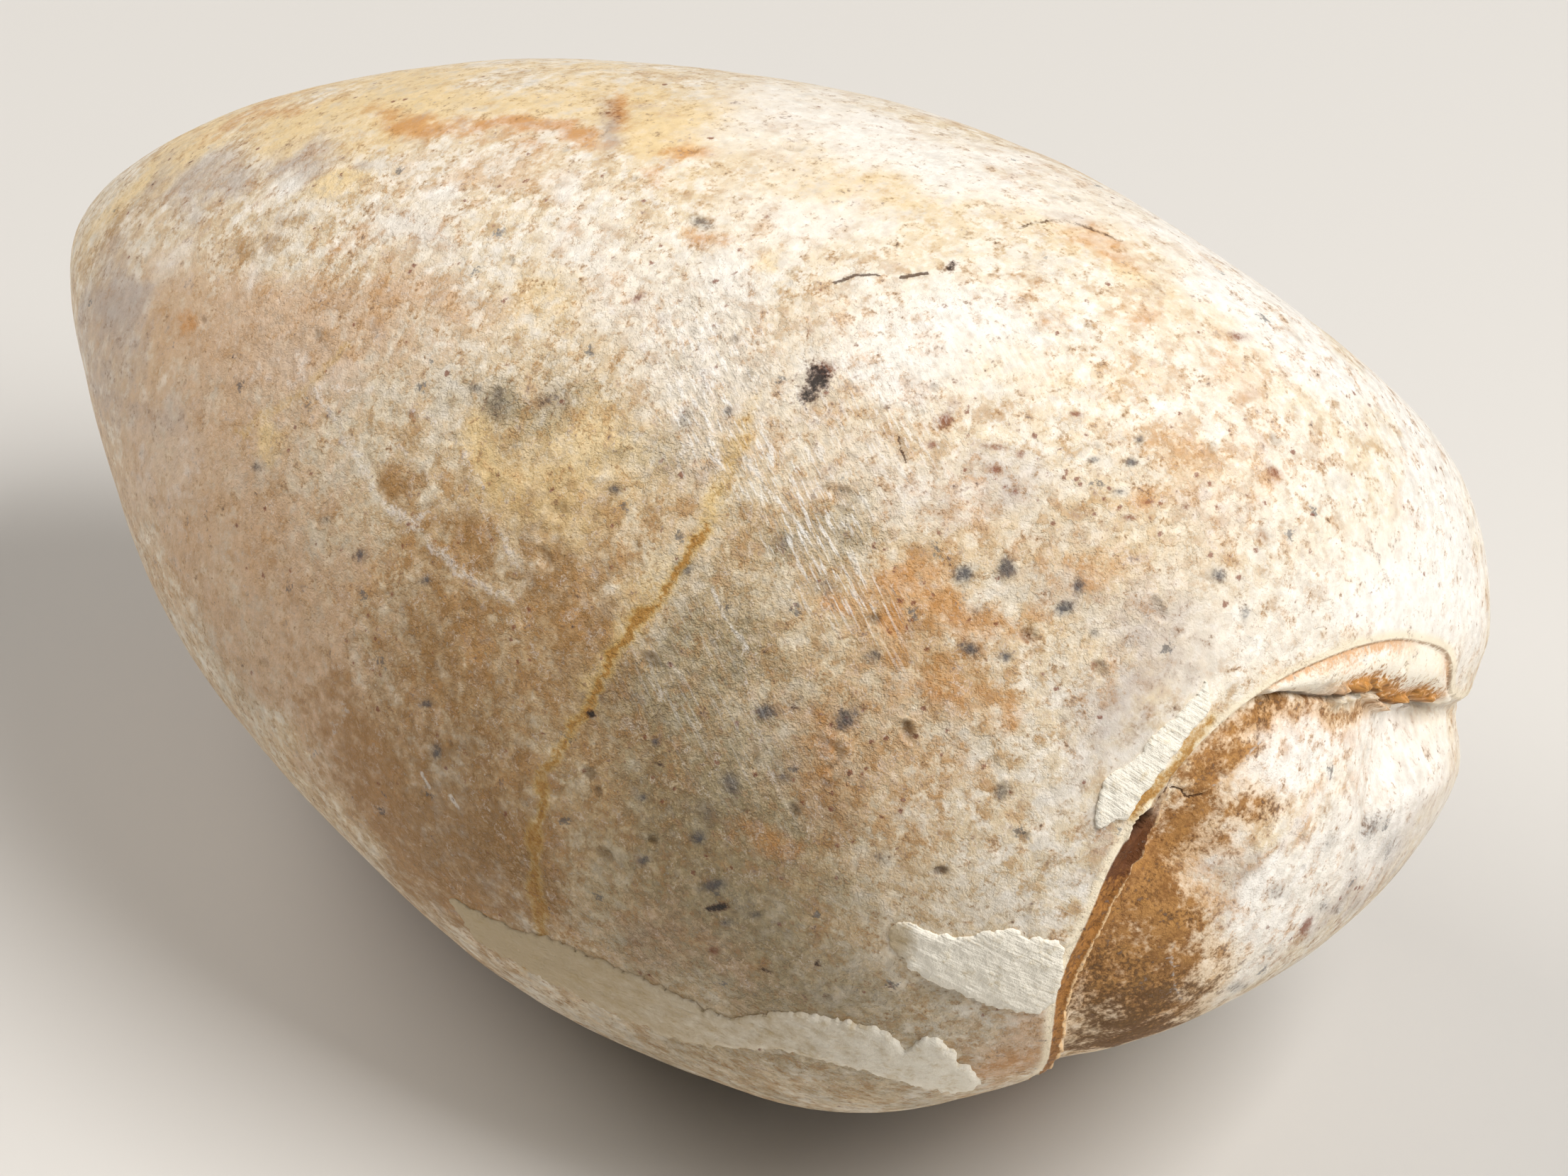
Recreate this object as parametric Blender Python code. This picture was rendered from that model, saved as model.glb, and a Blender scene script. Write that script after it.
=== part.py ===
"""A fossil sea snail, ground and polished to a smooth egg, lying on its side.

The shell and the stone that fills it are one solid piece. The form is built in
the shell's own frame, in millimetres: X runs along the coiling axis from the
worn spire to the broad front end, Z is the side that the grinding left highest
and Y completes the frame. The finished solid is then laid on its side, in
metres, with +Z up and its small ground flat on the plane z = 0.
"""

import math

import bmesh
import bpy
import numpy as np
from mathutils import Matrix, Vector

MM = 0.001

# Reach of the egg from its gauge centre along each half axis, in mm.
SPIRE_REACH = 39.0
FRONT_REACH = 26.9
TOP_REACH = 18.05
BELLY_REACH = 20.8
SIDE_REACH = 19.0

# Exponents of the outline: 2 is an ellipse, more is blunter, less is pointed.
SPIRE_POINTEDNESS = 1.78
FRONT_BLUNTNESS = 2.7
GIRTH_ROUNDNESS = 2.1

# Facets left by grinding: how far each leans to the front end, its turn round
# the axis from +Y towards +Z (both in degrees), and its distance from the
# gauge centre in mm. The power sets how softly a facet meets the egg.
GROUND_FACETS = (
    (13.6, 82.0, 18.47),
    (-7.5, 94.4, 24.23),
    (35.2, 66.0, 29.5),
    (48.5, -49.3, 24.66),
    (33.7, -67.4, 21.7),
    (-22.4, -103.8, 21.46),
    (-42.3, -121.7, 25.95),
)
FACET_MEETING_POWER = 26.0

# The edge of the outer lip, from behind the notch at the front end, round the
# front, under the belly and back to the hind end of the mouth. Each row is a
# point near the edge, how deep the wall inside it drops there, and how wide
# that wall is seen from outside, all in mm.
LIP_POINTS = (
    (23.8, 11.4, 4.2, 0.0, 0.4),
    (25.2, 8.8, 3.9, 0.5, 0.4),
    (26.2, 6.2, 3.4, 0.9, 0.5),
    (26.6, 4.2, 3.3, 1.1, 0.6),
    (26.7, 2.6, 3.9, 1.2, 1.1),
    (26.6, 1.2, 4.6, 1.2, 1.6),
    (26.6, -1.2, 4.6, 1.2, 1.9),
    (26.5, -3.8, 4.2, 1.1, 1.5),
    (26.1, -6.8, 3.0, 0.9, 0.9),
    (25.2, -9.6, 0.9, 0.7, 0.4),
    (24.1, -11.3, -2.1, 0.7, 0.4),
    (23.0, -11.8, -5.9, 0.9, 0.8),
    (22.2, -11.0, -9.0, 0.8, 0.8),
    (21.3, -9.3, -12.3, 0.6, 0.8),
    (20.2, -5.9, -14.9, 0.35, 0.8),
    (18.0, -1.6, -17.0, 0.3, 0.6),
    (14.0, 2.2, -18.6, 0.3, 0.5),
    (8.0, 4.6, -19.4, 0.3, 0.5),
    (0.0, 5.6, -19.6, 0.3, 0.5),
    (-9.0, 5.4, -18.6, 0.25, 0.5),
    (-17.0, 4.6, -16.6, 0.2, 0.4),
    (-24.0, 3.8, -13.6, 0.0, 0.4),
)
LIP_STEPS_PER_POINT = 12
RIM_ROUNDING = 0.3
RIM_ROUNDING_DEPTH = 0.08
INNER_RISE_REACH = 5.5

# How the piece lies: the axis dips to the spire, and the piece is rolled on it.
AXIS_RISE = math.radians(4.0)
AXIS_ROLL = math.radians(-41.7)
GAUGE_CENTRE = (5.66, 0.63, 19.95)

# The mesh: rounds of even subdivision, then rounds that only split edges near
# the lip, each with how near in mm.
EVEN_ROUNDS = 5
FINE_REACHES = (2.2, 1.1)
SNAP_SHARE = 0.22

SHELL_COLOUR = (0.66, 0.53, 0.37, 1.0)
SHELL_ROUGHNESS = 0.42


def clear_scene():
    """Remove every object of the starting scene."""
    for thing in list(bpy.data.objects):
        bpy.data.objects.remove(thing, do_unlink=True)


def direction(lean_degrees, turn_degrees):
    """Unit vector that leans to the front end by one angle and turns round X by another."""
    lean = math.radians(lean_degrees)
    turn = math.radians(turn_degrees)
    return np.array((math.sin(lean), math.cos(lean) * math.cos(turn), math.cos(lean) * math.sin(turn)))


def surface_radius(ways):
    """Distance in mm from the gauge centre to the ground egg, along each unit vector."""
    x, y, z = ways.T
    reach = np.where(x < 0.0, SPIRE_REACH, FRONT_REACH)
    bluntness = np.where(x < 0.0, SPIRE_POINTEDNESS, FRONT_BLUNTNESS)
    height = np.where(z < 0.0, BELLY_REACH, TOP_REACH)
    across = (np.abs(y) / SIDE_REACH) ** GIRTH_ROUNDNESS + (np.abs(z) / height) ** GIRTH_ROUNDNESS
    girth = across ** (1.0 / GIRTH_ROUNDNESS)
    gauge = (np.abs(x / reach) ** bluntness + girth ** bluntness) ** (1.0 / bluntness)
    total = gauge ** FACET_MEETING_POWER
    for lean, turn, distance in GROUND_FACETS:
        towards = np.maximum(ways @ direction(lean, turn), 0.0)
        total = total + (towards / distance) ** FACET_MEETING_POWER
    return total ** (-1.0 / FACET_MEETING_POWER)


def on_surface(points):
    """Move points along their rays from the gauge centre onto the ground egg."""
    ways = points / np.linalg.norm(points, axis=1)[:, None]
    return ways * surface_radius(ways)[:, None]


def catmull_rom(points, steps):
    """A smooth curve through all the points, with the given steps between neighbours."""
    ends = np.vstack((2.0 * points[0] - points[1], points, 2.0 * points[-1] - points[-2]))
    curve = []
    for before, start, stop, after in zip(ends, ends[1:], ends[2:], ends[3:]):
        for t in np.arange(steps) / steps:
            slope = stop - before
            bend = 2.0 * before - 5.0 * start + 4.0 * stop - after
            twist = 3.0 * (start - stop) + after - before
            curve.append(0.5 * (2.0 * start + slope * t + bend * t ** 2 + twist * t ** 3))
    curve.append(points[-1])
    return np.array(curve)


class LipLine:
    """The lip's edge as a curve on the surface, with readings of what lies beside it."""

    def __init__(self):
        """Lay the curve through the lip's points."""
        curve = catmull_rom(np.array(LIP_POINTS), LIP_STEPS_PER_POINT)
        self.points = on_surface(curve[:, :3])
        self.depths = curve[:, 3]
        self.widths = curve[:, 4]
        self.tangents = np.gradient(self.points, axis=0)
        self.tangents /= np.linalg.norm(self.tangents, axis=1)[:, None]

    def read(self, places):
        """Side distance (positive on the lip's own side), wall depth and wall width there."""
        apart = places[:, None, :] - self.points[None, :, :]
        nearest = np.argmin((apart ** 2).sum(axis=2), axis=1)
        offset = places - self.points[nearest]
        tangent = self.tangents[nearest]
        beside = offset - (offset * tangent).sum(axis=1)[:, None] * tangent
        outward = places / np.linalg.norm(places, axis=1)[:, None]
        turn = (np.cross(tangent, offset) * outward).sum(axis=1)
        past_end = np.linalg.norm(offset, axis=1) - np.linalg.norm(beside, axis=1)
        side = -np.sign(turn) * np.linalg.norm(beside, axis=1)
        at_end = (nearest == 0) | (nearest == len(self.points) - 1)
        side = np.where(at_end & (past_end > 0.3), side + np.sign(side) * past_end, side)
        return side, self.depths[nearest], self.widths[nearest]


def smooth_step(low, high, value):
    """0 below low, 1 above high and an even S between them."""
    t = np.clip((value - low) / (high - low), 0.0, 1.0)
    return t * t * (3.0 - 2.0 * t)


def relief(lip, places):
    """How far in mm each place lies under the ground egg."""
    side, depth, width = lip.read(places)
    wall = smooth_step(0.0, 1.0, -side / width)
    rise = 1.0 - smooth_step(0.0, INNER_RISE_REACH, -side - width)
    rim = 1.0 - smooth_step(0.0, RIM_ROUNDING, np.abs(side))
    return depth * (wall * rise + RIM_ROUNDING_DEPTH * rim)


def coordinates(form):
    """The mesh's vertices as an array of positions."""
    return np.array([vert.co[:] for vert in form.verts])


def set_coordinates(form, places):
    """Write an array of positions back to the mesh's vertices."""
    for vert, place in zip(form.verts, places):
        vert.co = Vector(place)


def refine_near(form, lip, reach):
    """Split every edge that lies within reach of the lip, and keep the new points on the egg."""
    edges = list(form.edges)
    middles = np.array([((edge.verts[0].co + edge.verts[1].co) / 2.0)[:] for edge in edges])
    apart = np.linalg.norm(middles[:, None, :] - lip.points[None, :, :], axis=2).min(axis=1)
    chosen = [edge for edge, gap in zip(edges, apart) if gap < reach]
    bmesh.ops.subdivide_edges(form, edges=chosen, cuts=1, use_grid_fill=True)
    bmesh.ops.triangulate(form, faces=form.faces[:])
    set_coordinates(form, on_surface(coordinates(form)))


def score_line(form, lip, walls_in):
    """Lay a line of edges along the lip, a given number of wall widths inside it."""
    form.verts.index_update()
    side, _, width = lip.read(coordinates(form))
    side = side + walls_in * width
    line = set()
    for edge in list(form.edges):
        first, second = edge.verts
        a, b = side[first.index], side[second.index]
        if a * b >= 0.0 or max(abs(a), abs(b)) > FINE_REACHES[-1]:
            continue
        share = a / (a - b)
        if share < SNAP_SHARE or share > 1.0 - SNAP_SHARE:
            line.add(first if share < SNAP_SHARE else second)
            continue
        line.add((edge, first, share))
    corners = [item for item in line if not isinstance(item, tuple)]
    for edge, first, share in [item for item in line if isinstance(item, tuple)]:
        corners.append(bmesh.utils.edge_split(edge, first, share)[1])
    bmesh.ops.connect_verts(form, verts=corners, check_degenerate=True)
    bmesh.ops.triangulate(form, faces=form.faces[:])
    set_coordinates(form, on_surface(coordinates(form)))


def shell_form(lip):
    """The whole solid in its own frame: the ground egg with the slit of its mouth."""
    form = bmesh.new()
    bmesh.ops.create_icosphere(form, subdivisions=EVEN_ROUNDS, radius=1.0)
    stretch = ((SPIRE_REACH + FRONT_REACH) / 2.0, SIDE_REACH, SIDE_REACH)
    bmesh.ops.scale(form, vec=Vector(stretch), verts=form.verts)
    set_coordinates(form, on_surface(coordinates(form)))
    for reach in FINE_REACHES:
        refine_near(form, lip, reach)
    score_line(form, lip, 0.0)
    score_line(form, lip, 1.0)
    places = coordinates(form)
    ways = places / np.linalg.norm(places, axis=1)[:, None]
    set_coordinates(form, places - ways * relief(lip, places)[:, None])
    return form


def lying():
    """The turn and shift that lay the piece on its side, still in mm."""
    rise = Matrix.Rotation(-AXIS_RISE, 4, "Y")
    roll = Matrix.Rotation(AXIS_ROLL, 4, "X")
    return Matrix.Translation(GAUGE_CENTRE) @ rise @ roll


def cut_resting_flat(form):
    """Grind off what lies under z = 0 and close the cut with one flat face."""
    parts = form.verts[:] + form.edges[:] + form.faces[:]
    cut = bmesh.ops.bisect_plane(
        form, geom=parts, dist=1e-5, plane_co=(0.0, 0.0, 0.0), plane_no=(0.0, 0.0, 1.0), clear_inner=True
    )
    border = [item for item in cut["geom_cut"] if isinstance(item, bmesh.types.BMEdge)]
    bmesh.ops.contextual_create(form, geom=border)
    bmesh.ops.recalc_face_normals(form, faces=form.faces[:])


def shell_material():
    """Polished fossil shell, seen as one even colour."""
    material = bpy.data.materials.new("polished_shell")
    material.use_nodes = True
    shader = material.node_tree.nodes["Principled BSDF"]
    shader.inputs["Base Color"].default_value = SHELL_COLOUR
    shader.inputs["Roughness"].default_value = SHELL_ROUGHNESS
    shader.inputs["Metallic"].default_value = 0.0
    return material


def build_shell():
    """Make the one named solid."""
    lip = LipLine()
    form = shell_form(lip)
    form.transform(lying())
    cut_resting_flat(form)
    form.transform(Matrix.Scale(MM, 4))
    mesh = bpy.data.meshes.new("fossil_shell")
    form.to_mesh(mesh)
    form.free()
    mesh.shade_smooth()
    mesh.set_sharp_from_angle(angle=math.radians(35.0))
    mesh.materials.append(shell_material())
    shell = bpy.data.objects.new("fossil_shell", mesh)
    bpy.context.scene.collection.objects.link(shell)
    return shell


clear_scene()
build_shell()
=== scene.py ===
"""The looks of a fossil sea snail, ground and polished to a smooth egg.

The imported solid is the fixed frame. A fine skin with the lip, the slit of the
mouth, pits, cracks and stains takes its place, with the thin chalky scales that
still stand on the surface. Everything is made in the shell's own frame, in mm:
X runs along the coiling axis from the worn spire to the broad front end, and Z
is the side that the grinding left highest. A last turn and shift lay it on its
side on z = 0, in metres.
"""

import logging
import math
from dataclasses import dataclass, field
from enum import Enum

import bmesh
import bpy
import numpy as np
from mathutils import Matrix, Vector, geometry, noise


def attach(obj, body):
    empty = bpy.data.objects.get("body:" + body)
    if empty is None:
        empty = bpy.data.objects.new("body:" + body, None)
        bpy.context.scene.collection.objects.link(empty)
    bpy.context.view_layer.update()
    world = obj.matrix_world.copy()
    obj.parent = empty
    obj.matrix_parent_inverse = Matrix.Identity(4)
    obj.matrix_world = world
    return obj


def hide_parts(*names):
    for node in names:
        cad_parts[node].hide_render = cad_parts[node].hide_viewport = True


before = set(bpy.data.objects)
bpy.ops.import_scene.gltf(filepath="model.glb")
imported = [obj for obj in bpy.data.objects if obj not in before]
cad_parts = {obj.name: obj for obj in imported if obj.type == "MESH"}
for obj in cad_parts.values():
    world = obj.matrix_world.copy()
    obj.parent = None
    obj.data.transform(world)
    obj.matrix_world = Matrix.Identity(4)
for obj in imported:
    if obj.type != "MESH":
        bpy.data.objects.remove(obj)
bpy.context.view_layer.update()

LOG = logging.getLogger("fossil_snail")
MM = 0.001
NODE = "fossil_shell"
BODY = "root"

Array = np.ndarray
Socket = bpy.types.NodeSocket
Colour = tuple[float, float, float, float]
Value = Socket | Colour | float


def tint(code: str) -> Colour:
    """Linear colour for a six-digit code as a paint chart gives it."""
    parts = [int(code[i:i + 2], 16) / 255.0 for i in (0, 2, 4)]
    linear = [p / 12.92 if p <= 0.04045 else ((p + 0.055) / 1.055) ** 2.4 for p in parts]
    return (*linear, 1.0)


def smooth_step(low: float, high: float, value: Array) -> Array:
    """0 below low, 1 above high and an even S between them."""
    t = np.clip((value - low) / (high - low), 0.0, 1.0)
    return t * t * (3.0 - 2.0 * t)


def bell(value: Array, width: float) -> Array:
    """A round hump of height 1 at 0 that fades out over a width."""
    return np.exp(-((value / width) ** 2))


def clouds(points: Array, size: float, octaves: int, seed: float) -> Array:
    """Soft random field over points, about -1 to 1.

    Args:
        points: places in mm.
        size: how far apart the largest humps lie, in mm.
        octaves: how many finer layers it has.
        seed: shift that picks another field.

    Returns:
        One value for each point.
    """
    shift = Vector((seed * 17.3, seed * 5.9, seed * 11.7))
    return np.array([
        noise.fractal(Vector(p) / size + shift, 0.9, 2.1, octaves) for p in points.tolist()
    ])


def two_clouds(points: Array, size: float, seed: float) -> Array:
    """Two soft random fields over points, side by side."""
    return np.column_stack([clouds(points, size, 4, seed + i) for i in (0.0, 1.0)])


def catmull_rom(points: Array, steps: int, closed: bool = False) -> Array:
    """A smooth curve through all the points.

    Args:
        points: one row for each point.
        steps: how many steps lead from one point to the next.
        closed: True to join the last point to the first.

    Returns:
        The rows along the curve; a closed curve doesn't repeat its first row.
    """
    if closed:
        ends = np.vstack((points[-1], points, points[0], points[1]))
    else:
        ends = np.vstack((2.0 * points[0] - points[1], points, 2.0 * points[-1] - points[-2]))
    curve = []
    for before, start, stop, after in zip(ends, ends[1:], ends[2:], ends[3:]):
        for t in np.arange(steps) / steps:
            slope = stop - before
            bend = 2.0 * before - 5.0 * start + 4.0 * stop - after
            twist = 3.0 * (start - stop) + after - before
            curve.append(0.5 * (2.0 * start + slope * t + bend * t ** 2 + twist * t ** 3))
    if not closed:
        curve.append(points[-1])
    return np.array(curve)


def nearest_rows(points: Array, curve: Array, chunk: int = 20000) -> Array:
    """Index of the curve's nearest row for each point."""
    squares = (curve ** 2).sum(axis=1)
    found = [
        np.argmin(squares - 2.0 * points[i:i + chunk] @ curve.T, axis=1)
        for i in range(0, len(points), chunk)
    ]
    return np.concatenate(found)


def along_and_across(flat: Array, slope: float) -> tuple[Array, Array]:
    """How far flat points lie along and across a slope in degrees."""
    a = math.radians(slope)
    return flat @ np.array((math.cos(a), math.sin(a))), flat @ np.array((-math.sin(a), math.cos(a)))


def distance_to_path(flat: Array, path: Array) -> Array:
    """Distance from each flat point to a path of straight pieces, in mm."""
    best = np.full(len(flat), np.inf)
    for start, stop in zip(path, path[1:]):
        run = stop - start
        share = np.clip(((flat - start) @ run) / (run @ run), 0.0, 1.0)
        gap = np.linalg.norm(flat - start - share[:, None] * run, axis=1)
        best = np.minimum(best, gap)
    return best


# ---------------------------------------------------------------- the form


@dataclass(frozen=True)
class GroundFacet:
    """A flat left by grinding: its lean to the front end and its turn round X, in degrees,
    and its distance from the gauge centre in mm."""

    lean: float
    turn: float
    distance: float

    def way(self) -> Array:
        """Unit vector that the flat faces."""
        lean = math.radians(self.lean)
        turn = math.radians(self.turn)
        return np.array((math.sin(lean), math.cos(lean) * math.cos(turn), math.cos(lean) * math.sin(turn)))


@dataclass(frozen=True)
class EggForm:
    """The ground egg: half axes in mm, outline exponents, and the facets that meet it softly."""

    spire_reach: float = 39.0
    front_reach: float = 26.9
    top_reach: float = 18.05
    belly_reach: float = 20.8
    side_reach: float = 19.0
    spire_pointedness: float = 1.78
    front_bluntness: float = 2.7
    girth_roundness: float = 2.1
    facet_meeting_power: float = 26.0
    facets: tuple[GroundFacet, ...] = (
        GroundFacet(13.6, 82.0, 18.47),
        GroundFacet(-7.5, 94.4, 24.23),
        GroundFacet(35.2, 66.0, 29.5),
        GroundFacet(48.5, -49.3, 24.66),
        GroundFacet(33.7, -67.4, 21.7),
        GroundFacet(-22.4, -103.8, 21.46),
        GroundFacet(-42.3, -121.7, 25.95),
    )

    def radius(self, ways: Array) -> Array:
        """Distance in mm from the gauge centre to the surface, along each unit vector."""
        x, y, z = ways.T
        reach = np.where(x < 0.0, self.spire_reach, self.front_reach)
        bluntness = np.where(x < 0.0, self.spire_pointedness, self.front_bluntness)
        height = np.where(z < 0.0, self.belly_reach, self.top_reach)
        across = (np.abs(y) / self.side_reach) ** self.girth_roundness
        across = across + (np.abs(z) / height) ** self.girth_roundness
        girth = across ** (1.0 / self.girth_roundness)
        gauge = (np.abs(x / reach) ** bluntness + girth ** bluntness) ** (1.0 / bluntness)
        total = gauge ** self.facet_meeting_power
        for facet in self.facets:
            towards = np.maximum(ways @ facet.way(), 0.0)
            total = total + (towards / facet.distance) ** self.facet_meeting_power
        return total ** (-1.0 / self.facet_meeting_power)

    def onto(self, points: Array) -> Array:
        """Move points along their rays from the gauge centre onto the surface."""
        ways = points / np.linalg.norm(points, axis=1)[:, None]
        return ways * self.radius(ways)[:, None]

    def outward(self, points: Array) -> Array:
        """Unit normals of the surface at points on it."""
        step = 0.02
        slopes = []
        for axis in np.eye(3):
            ahead = points + step * axis
            behind = points - step * axis
            ahead_size = np.linalg.norm(ahead, axis=1)
            behind_size = np.linalg.norm(behind, axis=1)
            rise = ahead_size - self.radius(ahead / ahead_size[:, None])
            fall = behind_size - self.radius(behind / behind_size[:, None])
            slopes.append((rise - fall) / (2.0 * step))
        normals = np.stack(slopes, axis=1)
        flipped = (normals * points).sum(axis=1) < 0.0
        normals[flipped] *= -1.0
        return normals / np.linalg.norm(normals, axis=1)[:, None]


@dataclass(frozen=True)
class Lying:
    """How the piece lies: the dip of its axis, its roll on it, and its gauge centre in mm."""

    axis_rise: float = math.radians(4.0)
    axis_roll: float = math.radians(-41.7)
    centre: tuple[float, float, float] = (5.66, 0.63, 19.95)

    def turn(self) -> Array:
        """3 by 3 turn from the shell's frame to the frame that it lies in."""
        rise = Matrix.Rotation(-self.axis_rise, 3, "Y")
        roll = Matrix.Rotation(self.axis_roll, 3, "X")
        return np.array(rise @ roll)

    def place(self, points: Array) -> Array:
        """Points of the shell's frame as they lie, still in mm."""
        return points @ self.turn().T + np.array(self.centre)


@dataclass(frozen=True)
class Sight:
    """The side that the piece is shown from.

    A place on the shown side is given in mm to the right of and above the middle of the
    view, on a plane through the gauge centre that stands square to the line of sight.
    """

    lying: Lying
    azimuth: float = math.radians(35.33)
    elevation: float = math.radians(37.54)
    distance: float = 233.2
    aim: tuple[float, float] = (-1.15, -1.36)
    lens: float = 135.0
    film: float = 36.0
    search_depth: float = 45.0
    search_step: float = 1.0
    search_halvings: int = 18

    def lying_axes(self) -> Array:
        """Right, up and back of the view as rows, in the frame that the piece lies in."""
        a, e = self.azimuth, self.elevation
        right = np.array((math.cos(a), math.sin(a), 0.0))
        back = np.array((math.sin(a) * math.cos(e), -math.cos(a) * math.cos(e), math.sin(e)))
        return np.stack((right, np.cross(back, right), back))

    def axes(self) -> Array:
        """Right, up and back of the view as rows, in the shell's frame."""
        return self.lying_axes() @ self.lying.turn()

    def eye(self) -> Array:
        """Where the view is taken from, in the shell's frame, in mm."""
        return np.array((*self.aim, self.distance)) @ self.axes()

    def flat(self, points: Array) -> Array:
        """Right and up on the view's plane for points of the shell's frame."""
        seen = points @ self.axes().T
        shrink = self.distance / (self.distance - seen[:, 2])
        return (seen[:, :2] - np.array(self.aim)) * shrink[:, None]

    def facing(self, points: Array, normals: Array) -> Array:
        """How squarely the surface faces the eye: 1 square on, 0 at the rim, less behind."""
        towards = self.eye() - points
        towards /= np.linalg.norm(towards, axis=1)[:, None]
        return (towards * normals).sum(axis=1)

    def cast(self, form: EggForm, flat: Array) -> Array:
        """Points of the surface seen at places on the view's plane."""
        eye = self.eye()
        goals = np.column_stack((flat + np.array(self.aim), np.zeros(len(flat)))) @ self.axes()
        ways = goals - eye
        ways /= np.linalg.norm(ways, axis=1)[:, None]
        first, last = self.distance - self.search_depth, self.distance + self.search_depth
        near = np.full(len(flat), first)
        far = near.copy()
        inside = np.zeros(len(flat), bool)
        for reach in np.arange(first, last, self.search_step):
            points = eye + reach * ways
            size = np.linalg.norm(points, axis=1)
            hit = size < form.radius(points / size[:, None])
            near = np.where(inside, near, reach - self.search_step)
            far = np.where(inside, far, reach)
            inside |= hit
        for _ in range(self.search_halvings):
            middle = (near + far) / 2.0
            points = eye + middle[:, None] * ways
            size = np.linalg.norm(points, axis=1)
            hit = size < form.radius(points / size[:, None])
            far = np.where(hit, middle, far)
            near = np.where(hit, near, middle)
        return form.onto(eye + far[:, None] * ways)


class LipLine:
    """The outer lip's edge: from behind the notch, round the front, under the belly and back.

    Each row is a point near the edge, how deep the wall inside it drops there, and how wide
    that wall is seen from outside, all in mm.
    """

    ROWS: tuple[tuple[float, ...], ...] = (
        (19.6, 15.6, 5.2, 0.0, 0.4),
        (23.9, 11.2, 4.1, 0.45, 0.4),
        (26.2, 6.2, 3.4, 0.55, 0.5),
        (26.6, 4.2, 3.3, 1.2, 0.7),
        (26.7, 2.6, 3.9, 1.9, 1.6),
        (26.6, 1.2, 4.6, 1.8, 2.4),
        (26.6, -1.2, 4.6, 1.4, 2.6),
        (26.5, -3.8, 4.2, 1.1, 2.1),
        (26.1, -6.8, 3.0, 0.9, 1.9),
        (25.2, -9.6, 0.9, 0.7, 0.55),
        (24.1, -11.3, -2.1, 0.7, 0.4),
        (23.0, -11.8, -5.9, 1.15, 1.6),
        (22.2, -11.0, -9.0, 0.8, 1.2),
        (21.3, -9.3, -12.3, 0.6, 0.85),
        (20.2, -5.9, -14.9, 0.35, 0.6),
        (18.0, -1.6, -17.0, 0.3, 0.5),
        (14.0, 2.2, -18.6, 0.3, 0.5),
        (8.0, 4.6, -19.4, 0.3, 0.5),
        (0.0, 5.6, -19.6, 0.3, 0.5),
        (-9.0, 5.4, -18.6, 0.25, 0.5),
        (-17.0, 4.6, -16.6, 0.2, 0.4),
        (-24.0, 3.8, -13.6, 0.0, 0.4),
    )
    STEPS = 24

    def __init__(self, form: EggForm) -> None:
        """Lay the curve through the rows, on the form."""
        curve = catmull_rom(np.array(self.ROWS), self.STEPS)
        self.points = form.onto(curve[:, :3])
        self.depths = curve[:, 3]
        self.widths = curve[:, 4]
        self.stations = np.arange(len(curve)) / self.STEPS
        self.tangents = np.gradient(self.points, axis=0)
        self.tangents /= np.linalg.norm(self.tangents, axis=1)[:, None]

    def read(self, places: Array) -> "LipReading":
        """Measure what lies between each place and the lip's edge."""
        nearest = nearest_rows(places, self.points)
        offset = places - self.points[nearest]
        tangent = self.tangents[nearest]
        beside = offset - (offset * tangent).sum(axis=1)[:, None] * tangent
        outward = places / np.linalg.norm(places, axis=1)[:, None]
        turn = (np.cross(tangent, offset) * outward).sum(axis=1)
        gap = np.linalg.norm(beside, axis=1)
        past_end = np.linalg.norm(offset, axis=1) - gap
        side = -np.sign(turn) * gap
        at_end = (nearest == 0) | (nearest == len(self.points) - 1)
        side = np.where(at_end & (past_end > 0.3), side + np.sign(side) * past_end, side)
        return LipReading(side, self.depths[nearest], self.widths[nearest], self.stations[nearest])


@dataclass(frozen=True)
class Run:
    """A run of the lip: the stations where it starts, is whole, starts to fade and is gone."""

    start: float
    whole: float
    fading: float
    gone: float


ARCH = Run(2.4, 3.2, 8.7, 9.3)
CRUMBLING_LEDGE = Run(3.0, 3.8, 7.5, 8.4)
LOWER_FRONT = Run(10.2, 10.9, 14.6, 16.0)


@dataclass
class LipReading:
    """What lies between places and the lip's edge.

    side is in mm, positive on the lip's own side; depth and width are the wall's, and
    station counts the lip's rows from the notch.
    """

    side: Array
    depth: Array
    width: Array
    station: Array

    def inside(self) -> Array:
        """How many wall widths a place lies inside the edge."""
        return -self.side / self.width

    def past_foot(self) -> Array:
        """Distance in mm past the foot of the wall, on the inner whorl."""
        return -self.side - self.width

    def along(self, run: Run) -> Array:
        """1 along a run of the lip, 0 elsewhere."""
        shown = smooth_step(run.start, run.whole, self.station)
        return shown * (1.0 - smooth_step(run.fading, run.gone, self.station))


# ---------------------------------------------------------------- what the surface bears


class Tone(Enum):
    """What a stain changes: a colour, a crop of specks or how the surface is worked."""

    TAN = "tan"
    OCHRE = "ochre"
    YELLOW = "yellow"
    ORANGE = "orange"
    LILAC = "lilac"
    WHITE = "white"
    # Partly a dull grey-brown stain and partly painted shade on the lower side.
    DUN_AND_SHADE = "dun_and_shade"
    AGED = "aged"
    CRUST = "crust"
    RUST_SPECKS = "rust_specks"
    SLATE_SPECKS = "slate_specks"
    SCRATCHES = "scratches"
    LOW_SCRATCHES = "low_scratches"
    SMOOTH = "smooth"


class Spot(Enum):
    """What a small dark spot is made of."""

    SLATE = "slate_spots"
    RUST = "rust_spots"
    BLACK = "black_spots"


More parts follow.
